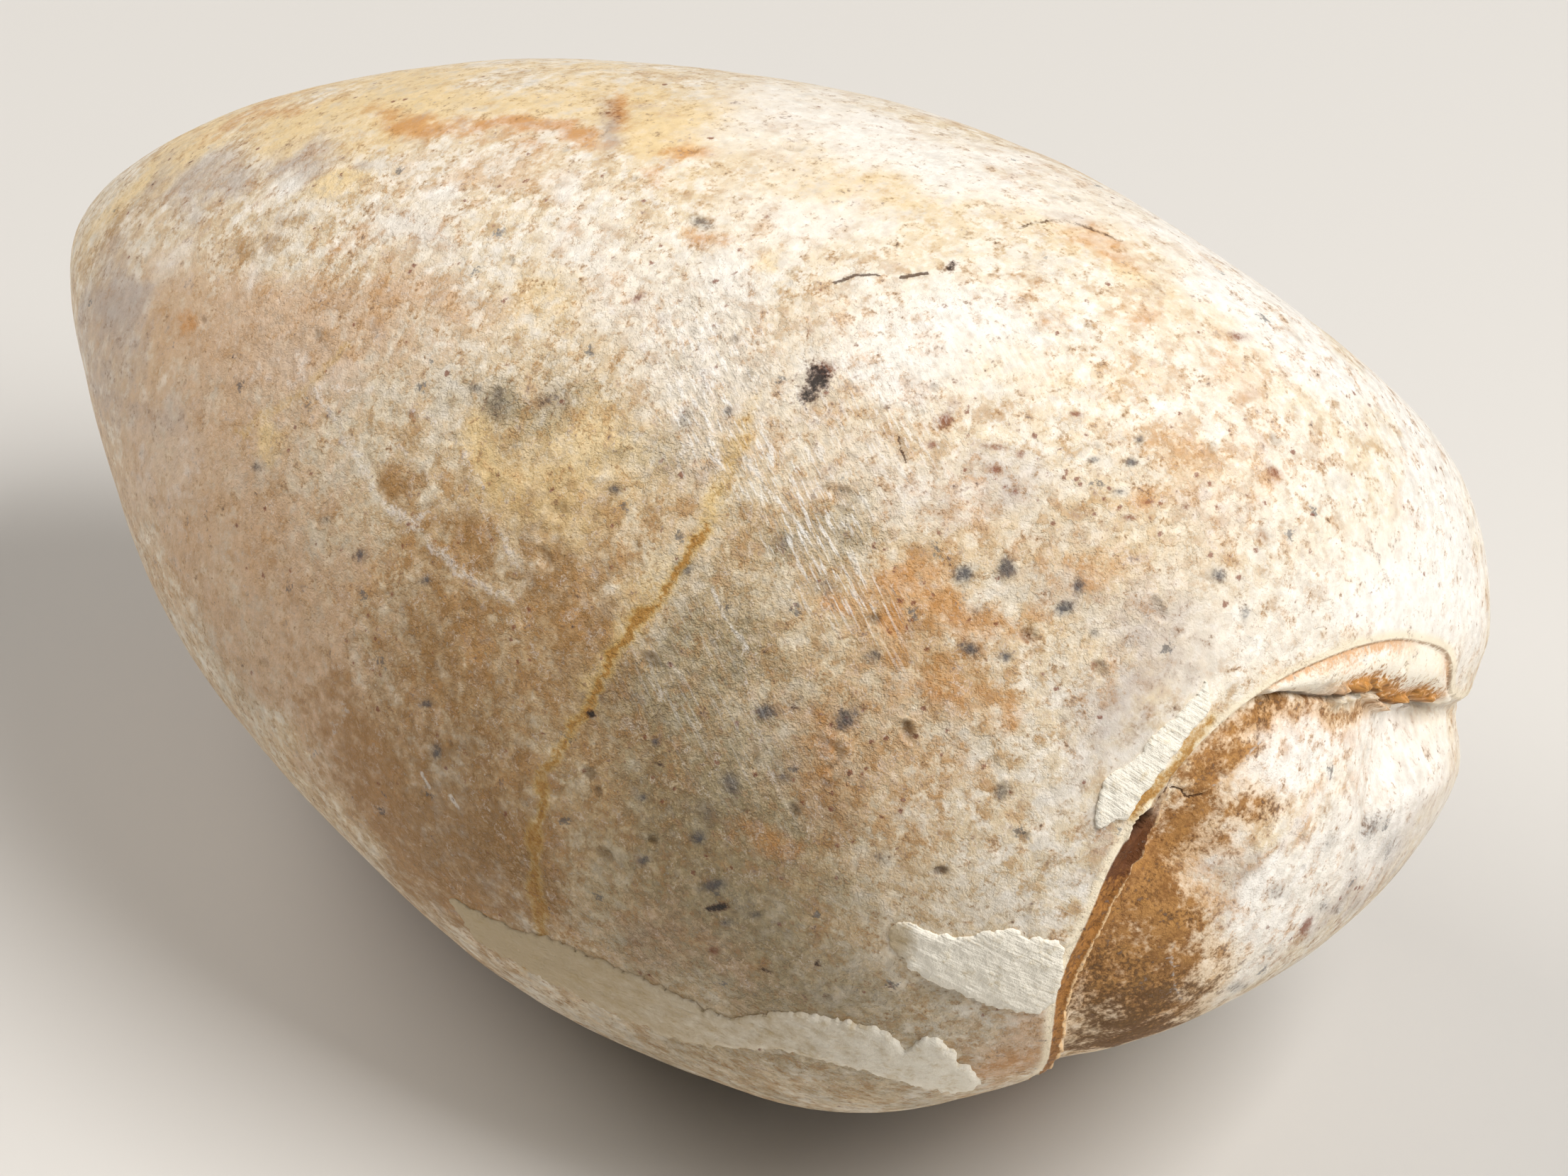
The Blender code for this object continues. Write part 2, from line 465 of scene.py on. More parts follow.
@dataclass(frozen=True)
class Stain:
    """A soft oval stain: its place right and up on the shown side, its half length and half
    width in mm, the slope of its length in degrees and its strength."""

    right: float
    up: float
    length: float
    width: float
    slope: float
    strength: float

    def share(self, flat: Array, core: float, fringe: float) -> Array:
        """How strong the stain is at places on the view's plane.

        Args:
            flat: the places, right and up in mm.
            core: share of its size inside which it is whole.
            fringe: share of its size outside which there is none.

        Returns:
            A value from 0 to its strength for each place.
        """
        along, across = along_and_across(flat - np.array((self.right, self.up)), self.slope)
        away = np.hypot(along / self.length, across / self.width)
        return self.strength * (1.0 - smooth_step(core, fringe, away))


def ovals(*rows: tuple[float, ...]) -> tuple[Stain, ...]:
    """Stains from rows of right, up, half length, half width, slope and strength."""
    return tuple(Stain(*row) for row in rows)


STAINS: dict[Tone, tuple[Stain, ...]] = {
    Tone.TAN: ovals(
        (-22.5, 4.5, 10.0, 6.0, -62.0, 0.7), (-19.5, 9.8, 6.0, 3.0, -10.0, 0.8),
        (-14.0, 11.6, 5.0, 1.6, -5.0, 0.6), (-22.6, 9.6, 1.0, 0.8, 0.0, 0.8),
        (-19.0, -1.5, 8.0, 3.2, -58.0, 0.8), (-17.5, -6.5, 6.0, 1.6, -52.0, 0.7),
        (-12.0, 16.4, 4.6, 0.9, 4.0, 0.5), (1.2, -7.0, 3.4, 2.4, -70.0, 0.45),
        (5.0, -5.0, 4.4, 3.2, -30.0, 0.3), (-4.0, -14.4, 4.0, 1.6, -20.0, 0.5),
        (9.4, -17.8, 2.4, 1.5, 20.0, 0.8), (25.0, 4.4, 0.9, 1.9, 15.0, 0.5),
        (24.5, -13.0, 3.0, 1.0, 50.0, 0.3), (14.6, 6.4, 7.0, 3.4, -45.0, 0.25),
        (-15.7, 11.7, 0.5, 0.4, 0.0, 0.8), (-17.8, 11.6, 0.9, 0.6, 0.0, 0.6),
    ),
    Tone.OCHRE: ovals(
        (-13.4, -2.5, 5.6, 2.8, -80.0, 0.75), (-12.4, -10.0, 5.2, 3.4, -60.0, 1.0),
        (-15.1, 4.7, 1.25, 1.1, 60.0, 0.95), (-12.9, 2.3, 1.7, 1.1, -55.0, 0.8),
        (-8.6, 0.2, 3.4, 2.6, -40.0, 0.75), (-11.0, 4.6, 2.4, 1.8, 0.0, 0.45),
        (-8.0, -3.4, 3.4, 2.8, 0.0, 0.7), (-17.0, -5.4, 4.2, 1.5, -60.0, 0.6),
        (-9.7, -12.0, 2.0, 0.5, -88.0, 0.7), (-26.2, 14.2, 2.4, 0.5, 42.0, 0.5),
        (-20.4, 13.9, 2.0, 0.5, 32.0, 0.5), (-6.0, -8.0, 6.0, 3.4, -40.0, 0.4),
        (-1.6, 6.3, 1.6, 0.7, 50.0, 0.5), (1.6, -8.6, 2.4, 1.2, -80.0, 0.4),
        (1.4, -6.6, 2.6, 1.8, -60.0, 0.35), (5.4, -2.0, 3.6, 2.2, -10.0, 0.35),
        (-15.4, -9.2, 5.6, 1.9, -52.0, 0.85), (-9.0, 3.2, 3.0, 1.8, -10.0, 0.5),
    ),
    Tone.YELLOW: ovals(
        (-24.6, 16.6, 5.2, 0.8, 42.0, 0.85), (-16.5, 18.9, 7.0, 1.6, 6.0, 0.95),
        (-8.0, 19.6, 9.0, 1.2, -2.0, 0.6), (-4.6, 18.4, 2.2, 1.4, -20.0, 0.9),
        (1.0, 16.6, 9.0, 2.2, -14.0, 0.22), (3.4, 15.4, 3.6, 1.2, -10.0, 0.4),
        (12.0, 13.4, 6.0, 1.0, -32.0, 0.4), (-11.6, 5.1, 1.9, 1.0, -58.0, 0.95),
        (-9.6, 3.6, 3.4, 2.2, -20.0, 0.6), (-1.5, 6.3, 1.4, 0.7, 50.0, 0.9),
        (-3.0, 3.1, 1.3, 0.6, 60.0, 0.8), (-6.2, -1.6, 4.6, 0.9, 56.0, 0.7),
        (-8.0, 5.6, 4.0, 2.0, -10.0, 0.6), (-18.0, 16.0, 1.8, 0.9, 0.0, 0.9),
        (-20.7, 5.7, 0.8, 0.7, 0.0, 0.8), (-0.7, 13.2, 0.8, 0.5, 20.0, 1.0),
        (-9.5, 11.0, 2.6, 1.6, -40.0, 0.5), (9.0, 8.6, 5.0, 1.2, -8.0, 0.35),
    ),
    Tone.ORANGE: ovals(
        (-20.6, 18.7, 3.4, 0.5, 17.0, 0.6), (-14.4, 18.3, 2.2, 0.6, -6.0, 0.9),
        (-10.6, 18.3, 2.4, 0.55, 6.0, 1.0), (-8.3, 18.1, 1.6, 0.5, -10.0, 0.8),
        (-10.0, 17.4, 1.2, 0.4, -10.0, 0.5), (-6.7, 19.2, 0.9, 0.5, -50.0, 0.8),
        (-3.7, 17.3, 1.3, 0.5, 5.0, 1.0), (-5.0, 16.4, 0.6, 0.4, 0.0, 0.6),
        (-8.6, 14.4, 1.4, 0.4, 80.0, 0.5), (-3.2, 14.2, 1.4, 0.5, -15.0, 0.6),
        (-5.8, 11.5, 0.5, 0.4, 0.0, 0.5), (-23.7, 10.5, 0.5, 0.4, 0.0, 0.9),
        (-16.9, 14.0, 2.2, 0.6, 30.0, 0.4), (12.4, 13.6, 2.0, 0.6, -25.0, 0.6),
        (11.0, 10.9, 1.6, 0.6, 0.0, 0.4), (14.1, 11.0, 1.0, 0.5, -10.0, 0.5),
        (14.6, 6.0, 6.5, 2.8, -38.0, 0.25), (18.3, 8.9, 2.4, 1.2, -50.0, 0.35),
        (19.4, 4.4, 0.6, 0.5, 0.0, 0.6), (14.2, 3.4, 1.0, 0.6, 30.0, 0.6),
        (12.0, 1.0, 1.6, 0.9, 0.0, 0.5), (4.6, -0.2, 1.8, 1.3, -10.0, 0.8),
        (4.1, -1.7, 0.8, 0.6, 60.0, 0.9), (2.2, -0.6, 0.9, 0.5, -20.0, 0.7),
        (7.4, -0.9, 2.6, 1.2, -15.0, 0.7), (10.2, -0.6, 0.7, 0.5, 0.0, 0.5),
        (6.0, -3.6, 3.4, 1.6, -5.0, 0.55), (1.6, -6.4, 1.8, 1.4, 60.0, 0.4),
        (8.8, -5.2, 1.0, 0.9, 0.0, 0.7), (7.2, -6.6, 1.4, 0.6, -70.0, 0.4),
        (5.5, -8.0, 3.6, 2.4, -30.0, 0.3), (-0.9, -9.9, 1.3, 0.7, -15.0, 0.75),
        (3.4, -10.8, 1.2, 1.0, 0.0, 0.35), (8.9, -18.8, 1.6, 0.6, 20.0, 0.6),
        (21.5, -5.6, 4.6, 0.9, 10.0, 0.7), (18.6, -7.2, 2.2, 1.6, 40.0, 0.4),
        (16.9, -11.2, 1.6, 1.2, 60.0, 0.6), (23.2, -7.6, 1.2, 0.5, 60.0, 0.6),
        (21.2, -8.6, 1.8, 0.4, 55.0, 0.5),
    ),
    Tone.LILAC: ovals(
        (-22.4, 16.0, 2.2, 1.3, 10.0, 0.75), (-19.2, 17.0, 1.3, 0.8, 10.0, 0.8),
        (-24.3, 15.6, 1.6, 0.8, 70.0, 0.6), (-26.4, 11.6, 1.8, 1.6, 80.0, 1.0),
        (-26.9, 8.4, 2.6, 1.4, 85.0, 0.6), (-24.8, 6.8, 2.0, 1.6, 20.0, 0.5),
        (-16.8, 16.7, 0.7, 0.3, 0.0, 0.6), (-14.6, 14.2, 1.4, 0.8, -10.0, 0.45),
        (-6.9, 18.3, 1.1, 0.6, 90.0, 0.8), (11.2, 14.6, 1.3, 0.4, -15.0, 0.6),
        (14.3, 11.9, 0.9, 0.7, 70.0, 0.5), (9.8, 12.5, 1.2, 0.7, 0.0, 0.3),
        (8.4, 4.6, 3.0, 1.5, -20.0, 0.6), (6.6, 3.2, 3.4, 1.6, -20.0, 0.4),
        (18.2, -12.0, 2.2, 1.4, 55.0, 0.6), (11.4, 0.6, 3.4, 2.0, -20.0, 0.35),
        (12.6, -5.6, 3.4, 1.5, 50.0, 0.5), (-1.6, 11.4, 2.2, 1.4, 90.0, 0.25),
        (17.2, 3.4, 1.4, 0.8, 0.0, 0.2), (14.2, -2.8, 3.6, 2.4, 50.0, 0.6),
        (13.0, -8.8, 3.4, 0.9, 55.0, 0.55), (24.0, -10.0, 3.6, 1.9, 52.0, 0.6),
        (21.6, -13.2, 3.4, 1.4, 38.0, 0.5), (26.2, -6.6, 2.4, 1.0, 80.0, 0.25),
        (19.2, -11.4, 1.8, 1.2, 40.0, 0.3),
    ),
    Tone.WHITE: ovals(
        (17.0, 8.2, 6.5, 2.2, -38.0, 0.3), (5.6, 3.8, 4.6, 1.8, -15.0, 0.25),
        (-19.0, 8.6, 2.6, 1.6, 0.0, 0.25), (-24.4, 4.6, 2.4, 1.4, 80.0, 0.25),
        # The oval at 24.6 right and 5.8 down is painted light: it lightens the dome under the notch, where
        # the overhang shades it.
        (24.6, -5.8, 2.2, 1.2, 0.0, 0.4), (-7.4, 13.0, 2.6, 2.2, -60.0, 0.5),
        (-4.0, 10.2, 3.6, 2.6, -75.0, 0.5), (-2.4, 12.8, 1.8, 1.4, 0.0, 0.6),
        (-0.8, 8.4, 3.0, 2.4, -70.0, 0.35), (-3.2, 6.2, 3.4, 0.9, 80.0, 0.28),
        (0.5, 18.0, 5.0, 1.8, -8.0, 0.42), (6.0, 17.0, 8.0, 1.6, -20.0, 0.75),
        (1.0, 14.6, 3.6, 1.4, -10.0, 0.6), (-14.6, 14.2, 2.0, 1.2, 0.0, 0.5),
        (-13.6, 15.6, 1.2, 0.5, 0.0, 0.8), (-8.8, 16.0, 0.9, 0.6, 90.0, 0.7),
        (-19.8, 16.0, 1.0, 0.35, 40.0, 0.8), (6.8, 9.9, 5.0, 2.8, -8.0, 0.75),
        (3.2, 8.6, 2.6, 1.6, 0.0, 0.45), (3.4, 4.6, 4.5, 2.4, -20.0, 0.2),
        (26.6, 0.6, 5.5, 1.6, -82.0, 1.0), (20.6, 3.4, 5.4, 2.6, -50.0, 0.3),
        (23.6, -0.4, 3.4, 2.2, 0.0, 0.95), (20.0, 10.2, 10.5, 1.2, -38.0, 0.95),
        (25.0, 5.8, 3.4, 0.9, -62.0, 0.8), (16.6, -0.8, 4.2, 2.2, -10.0, 0.25),
        (18.4, -2.6, 3.4, 1.6, 25.0, 0.45), (17.4, 2.6, 2.4, 1.4, 0.0, 0.35),
        (20.6, -6.8, 3.6, 1.5, 35.0, 0.7), (24.7, -7.2, 3.2, 1.8, 70.0, 0.7),
        (22.4, -8.2, 4.6, 2.8, -40.0, 0.35), (17.9, -10.3, 1.0, 0.7, 60.0, 0.7),
        (19.2, -13.0, 3.0, 1.3, 50.0, 0.8), (18.4, -15.6, 2.0, 0.9, 40.0, 0.6),
        (11.2, -7.4, 2.6, 1.4, 60.0, 0.15), (11.6, -4.6, 1.6, 1.2, 90.0, 0.15),
        (22.4, -10.6, 3.4, 1.4, 45.0, 0.6), (-24.2, 13.0, 1.5, 0.4, 60.0, 0.5),
        (-21.0, 12.2, 1.3, 0.3, 70.0, 0.5),
    ),
    # The dun ovals are partly the stone's own dull grey-brown and partly painted shade that darkens the lower
    # side, where little light falls.
    Tone.DUN_AND_SHADE: ovals(
        (-10.6, -11.2, 3.4, 1.4, -30.0, 0.5), (2.4, -12.2, 2.0, 1.4, -20.0, 0.35),
        (3.4, -5.4, 4.4, 2.2, -10.0, 0.28), (-21.0, -3.2, 3.0, 1.4, -58.0, 0.35),
        (-2.5, -9.5, 5.5, 5.0, 0.0, 0.8), (-2.2, -14.6, 6.0, 3.0, -12.0, 0.68),
        (5.4, -17.2, 6.0, 2.2, -10.0, 0.38), (-5.0, -4.6, 3.6, 3.4, 0.0, 0.8),
        (-10.2, 7.4, 3.2, 1.2, -5.0, 0.65), (-4.5, 5.2, 2.4, 1.4, 0.0, 0.4),
        (-2.0, 0.5, 3.0, 2.2, 70.0, 0.32), (-12.0, -6.0, 6.0, 3.0, -50.0, 0.3),
        (0.0, -19.0, 10.0, 1.6, -10.0, 0.5), (1.6, 2.2, 3.2, 1.4, 0.0, 0.45),
        (-1.0, -2.6, 3.2, 1.6, -20.0, 0.65),
    ),
    Tone.AGED: ovals(
        (-13.0, -2.0, 20.0, 10.0, -45.0, 0.8), (-2.0, -11.2, 9.5, 5.6, -15.0, 0.9),
        (4.0, -3.4, 6.5, 5.0, -20.0, 0.75), (-2.0, 2.0, 8.0, 6.0, 0.0, 0.6),
        (-2.0, 8.6, 7.0, 3.4, -20.0, 0.45), (15.0, 2.6, 5.4, 4.0, -30.0, 0.5),
        (11.6, 0.4, 5.0, 3.4, -20.0, 0.6),
    ),
    Tone.CRUST: ovals(
        (16.2, -9.4, 2.8, 1.3, 40.0, 0.75), (14.8, -11.6, 3.0, 1.3, 62.0, 1.0),
        (14.8, -13.8, 3.4, 2.6, 70.0, 1.0), (14.4, -16.6, 3.4, 2.8, 70.0, 1.0),
        (13.1, -14.8, 3.6, 1.5, 72.0, 1.0), (15.0, -13.2, 2.8, 1.6, 60.0, 1.0),
        (17.2, -7.1, 2.0, 1.0, 45.0, 0.8), (19.4, -5.3, 2.2, 0.8, 25.0, 0.7),
        (23.0, -4.9, 3.6, 0.6, 5.0, 0.6), (18.9, -8.9, 1.9, 0.9, 15.0, 0.8),
        (18.4, -6.9, 1.3, 0.5, 20.0, 0.75), (17.3, -10.4, 1.1, 0.6, 0.0, 0.7),
    ),
    Tone.RUST_SPECKS: ovals(
        (5.3, -1.0, 3.8, 3.0, -10.0, 1.0), (7.4, 5.6, 3.4, 0.9, -14.0, 0.9),
        (13.0, 3.6, 6.5, 3.4, -30.0, 0.7), (19.0, 6.0, 6.0, 3.0, -40.0, 0.5),
        (3.0, -8.0, 6.0, 4.5, 0.0, 0.6), (-12.9, 2.2, 1.8, 1.1, -55.0, 1.0),
        (-16.4, -1.0, 6.0, 4.0, -50.0, 0.3), (-5.0, 13.5, 3.0, 1.6, 0.0, 0.4),
    ),
    Tone.SLATE_SPECKS: ovals(
        (8.2, 0.0, 5.0, 2.8, -20.0, 0.7), (12.0, 3.4, 5.0, 3.0, -20.0, 0.6),
        (0.5, -6.0, 6.0, 4.0, -20.0, 0.6), (-3.0, -11.0, 5.0, 3.0, 0.0, 0.8),
        (-8.4, 6.6, 4.0, 1.6, -10.0, 0.7), (-11.0, -4.0, 6.0, 5.0, 0.0, 0.5),
        (-20.0, 2.0, 7.0, 4.0, -60.0, 0.4), (23.0, -10.6, 3.0, 1.6, 45.0, 0.5),
    ),
    Tone.SCRATCHES: ovals(
        (-2.4, 8.5, 5.5, 3.0, -80.0, 0.9), (0.2, 3.4, 5.4, 2.2, -58.0, 1.0),
        (3.4, 6.6, 4.0, 2.4, -70.0, 0.7), (3.0, -0.6, 3.0, 1.6, -60.0, 0.6),
        (8.0, 9.4, 6.0, 2.6, 0.0, 0.45), (-3.0, -4.0, 6.0, 3.0, -60.0, 0.35),
    ),
    Tone.LOW_SCRATCHES: ovals(
        (4.4, -13.6, 8.5, 3.0, -28.0, 0.16), (11.4, -11.9, 2.0, 1.6, -50.0, 0.45),
    ),
    Tone.SMOOTH: ovals(
        (-8.0, 19.0, 20.0, 2.4, 0.0, 1.0), (2.6, 15.6, 9.0, 2.6, -14.0, 1.0),
        (14.0, 12.6, 9.0, 2.0, -35.0, 0.8), (-26.0, 9.0, 8.0, 5.0, 70.0, 0.9),
        (-21.0, -2.0, 14.0, 2.6, -58.0, 0.7), (14.8, -4.4, 6.0, 1.8, 52.0, 0.9),
        (24.5, 0.0, 6.0, 2.4, -80.0, 0.9), (8.6, 8.8, 3.4, 1.6, -5.0, 0.8),
        (26.0, -7.0, 6.0, 1.2, 75.0, 0.7),
    ),
}


SPOTS: dict[Spot, tuple[Stain, ...]] = {
    Spot.SLATE: ovals(
        (-4.0, 0.8, 0.42, 0.36, 0.0, 1.0), (-6.7, 3.9, 0.28, 0.22, 0.0, 0.9),
        (-3.9, 6.7, 0.5, 0.36, 70.0, 0.6), (-2.2, 7.0, 0.3, 0.2, 60.0, 0.8),
        (-11.4, 7.2, 0.85, 0.6, 80.0, 0.6), (-9.2, 7.5, 0.9, 0.6, 10.0, 0.55),
        (7.1, 0.55, 0.48, 0.36, 30.0, 1.0), (8.8, 0.75, 0.42, 0.5, 0.0, 1.0),
        (11.7, 0.1, 0.26, 0.42, 0.0, 0.9), (11.1, -0.8, 0.45, 0.3, 20.0, 1.0),
        (1.6, 0.1, 0.55, 0.42, 0.0, 0.6), (0.1, 1.8, 0.55, 0.42, 0.0, 0.5),
        (3.5, -2.7, 0.4, 0.36, 0.0, 0.85), (7.4, -2.4, 0.5, 0.3, -20.0, 0.9),
        (8.8, -2.7, 0.36, 0.26, 0.0, 0.85), (7.7, -0.9, 0.42, 0.3, 20.0, 0.55),
        (-0.7, -4.9, 0.42, 0.36, 0.0, 1.0), (2.5, -5.2, 0.75, 0.4, 35.0, 0.85),
        (-2.1, -7.7, 0.34, 0.5, 20.0, 0.9), (-3.4, -9.9, 0.34, 0.3, 0.0, 0.95),
        (-3.0, -8.9, 0.6, 0.4, -50.0, 0.55), (-5.6, -10.8, 0.34, 0.22, 0.0, 0.9),
        (-5.1, -6.1, 0.22, 0.18, 0.0, 0.8), (-5.6, -8.3, 0.24, 0.18, 0.0, 0.8),
        (-13.8, -6.5, 0.24, 0.36, 0.0, 0.9), (-14.2, 0.3, 0.26, 0.2, 0.0, 0.8),
        (-14.2, -4.6, 0.28, 0.2, 0.0, 0.8), (3.8, -10.7, 0.5, 0.32, 0.0, 0.6),
        (0.0, -7.5, 0.42, 0.28, 0.0, 0.6), (-2.8, -11.8, 0.6, 0.26, 10.0, 0.9),
        (-1.1, -13.0, 0.3, 0.2, 0.0, 0.7), (-2.3, -13.3, 0.28, 0.2, 0.0, 0.7),
        (-5.8, -13.8, 0.6, 0.4, 0.0, 0.4), (17.2, 0.5, 0.42, 0.34, 0.0, 0.85),
        (18.3, -1.0, 0.2, 0.36, -20.0, 0.7), (13.8, 5.0, 0.28, 0.22, 0.0, 0.8),
        (14.1, 5.9, 0.22, 0.2, 0.0, 0.8), (12.3, 5.1, 0.26, 0.16, 0.0, 0.8),
        (13.3, 3.8, 0.34, 0.16, 0.0, 0.7), (12.3, -1.8, 0.24, 0.24, 0.0, 0.7),
        (8.6, -8.1, 0.4, 0.32, 70.0, 0.75), (-16.8, 1.3, 0.32, 0.28, 0.0, 0.8),
        (-20.9, 4.8, 0.3, 0.24, 0.0, 0.6), (-18.2, 2.7, 0.26, 0.2, 0.0, 0.6),
        (-12.2, 7.9, 0.34, 0.22, 0.0, 0.7), (-3.3, 14.5, 0.6, 0.28, -20.0, 0.7),
        (23.4, -9.5, 0.85, 0.34, 48.0, 0.55), (24.0, -10.3, 0.6, 0.4, 48.0, 0.4),
        (21.4, -12.6, 0.36, 0.28, 60.0, 0.5), (22.0, -12.8, 0.26, 0.2, 0.0, 0.45),
        (21.6, -10.2, 0.5, 0.3, 60.0, 0.45), (19.6, -12.1, 0.5, 0.34, 0.0, 0.45),
        (17.9, -15.8, 0.5, 0.26, 20.0, 0.55), (19.3, -14.4, 0.14, 0.3, 0.0, 0.5),
        (18.2, -15.8, 0.3, 0.14, 20.0, 0.5),
    ),
    Spot.RUST: ovals(
        (6.4, 6.7, 0.42, 0.3, 60.0, 0.9), (1.6, 8.6, 0.5, 0.36, 20.0, 0.9),
        (5.9, 5.7, 0.26, 0.22, 0.0, 0.9), (8.4, 5.6, 0.7, 0.16, -8.0, 0.7),
        (9.4, 5.3, 0.24, 0.2, 0.0, 0.8), (11.6, 6.9, 0.3, 0.12, -10.0, 0.9),
        (18.0, 10.0, 0.5, 0.2, -18.0, 0.75), (19.4, 4.6, 0.34, 0.24, -40.0, 0.7),
        (19.0, 2.1, 0.24, 0.36, 20.0, 0.6), (13.7, 2.8, 0.3, 0.14, 0.0, 0.9),
        (14.4, 3.4, 0.32, 0.1, 10.0, 0.8), (8.4, 4.7, 0.24, 0.18, 0.0, 0.8),
        (9.2, 3.8, 0.16, 0.14, 0.0, 0.8), (15.9, 3.2, 0.2, 0.14, 0.0, 0.8),
        (-5.8, 11.5, 0.3, 0.16, 40.0, 0.7), (-6.8, 19.0, 0.9, 0.5, -40.0, 0.5),
        (-2.8, -14.4, 0.24, 0.18, 0.0, 0.8), (1.0, 10.2, 0.2, 0.14, 0.0, 0.5),
        (20.7, -13.4, 0.5, 0.2, 62.0, 0.95), (-14.7, 6.9, 0.2, 0.28, 20.0, 0.75),
        (12.3, -3.1, 0.3, 0.26, 0.0, 0.7), (9.6, -2.0, 0.34, 0.26, -30.0, 0.6),
    ),
    Spot.BLACK: ovals(
        (1.3, 8.2, 0.62, 0.6, 78.0, 0.85), (0.95, 7.6, 0.42, 0.38, 70.0, 0.85),
        (1.6, 7.9, 0.3, 0.14, -20.0, 0.7), (-7.65, -5.0, 0.16, 0.15, 0.0, 1.0),
        (0.4, -4.7, 0.14, 0.13, 0.0, 1.0), (-2.7, -12.7, 0.45, 0.16, 8.0, 0.95),
        (-4.9, -7.0, 0.1, 0.09, 0.0, 0.9), (1.3, -14.9, 0.16, 0.12, 60.0, 0.9),
        (-0.7, -15.2, 0.26, 0.08, -20.0, 0.8), (4.1, 7.2, 0.1, 0.1, 0.0, 0.6),
        (6.6, 12.7, 0.3, 0.2, 60.0, 0.7),
    ),
}


@dataclass(frozen=True)
class Pit:
    """A small hollow: its place right and up on the shown side, its radius and depth in mm,
    how many times longer than wide it is, the slope of its length in degrees, and how much
    painted shade darkens its floor."""

    right: float
    up: float
    radius: float
    depth: float
    stretch: float
    slope: float
    dark: float


KNOWN_PITS: tuple[Pit, ...] = tuple(Pit(*row) for row in (
    (4.9, -5.7, 0.30, 0.24, 1.6, -75.0, 0.25), (-5.3, -2.9, 0.36, 0.18, 1.9, -15.0, 0.1),
    (12.5, -3.2, 0.30, 0.16, 1.2, -50.0, 0.2), (9.7, -1.9, 0.34, 0.18, 1.2, -30.0, 0.2),
    (14.8, -0.8, 0.30, 0.18, 1.8, -60.0, 0.1), (8.6, -8.1, 0.40, 0.10, 1.2, 20.0, 0.15),
    (6.2, -11.2, 0.20, 0.15, 1.6, 10.0, 0.6), (-7.1, -10.6, 0.42, 0.14, 1.3, 0.0, 0.15),
    (-5.2, -10.0, 0.24, 0.12, 1.2, 0.0, 0.15), (-7.7, -7.4, 0.32, 0.12, 1.1, 0.0, 0.3),
    (-1.15, -6.8, 0.18, 0.10, 4.0, 80.0, 0.0), (2.3, 3.7, 0.34, 0.14, 1.3, 0.0, 0.15),
    (1.6, 3.9, 0.22, 0.10, 1.2, 0.0, 0.1), (-6.9, 5.0, 0.50, 0.12, 2.0, 8.0, 0.1),
    (-9.0, 3.0, 0.36, 0.12, 1.8, 10.0, 0.1), (-9.5, 1.2, 0.30, 0.10, 1.8, -60.0, 0.0),
    (3.6, -1.3, 0.24, 0.12, 1.2, 0.0, 0.3), (14.3, -9.5, 0.42, 0.75, 1.9, 62.0, 0.85),
    (0.4, -8.8, 0.25, 0.12, 1.4, -60.0, 0.2),
))


@dataclass(frozen=True)
class SeededPits:
    """Small pits strewn over the whole piece: how many, their radii in mm and the seed."""

    count: int = 130
    smallest: float = 0.12
    largest: float = 0.3
    seed: int = 11


class Mark(Enum):
    """What a line on the surface is."""

    OCHRE_SEAM = "ochre_seam"
    DARK = "dark"
    PALE = "pale"


@dataclass(frozen=True)
class Line:
    """A line on the shown side: its kind, its width and depth in mm, its strength and its
    points right and up. A depth below 0 stands proud."""

    mark: Mark
    width: float
    depth: float
    strength: float
    points: tuple[tuple[float, float], ...]


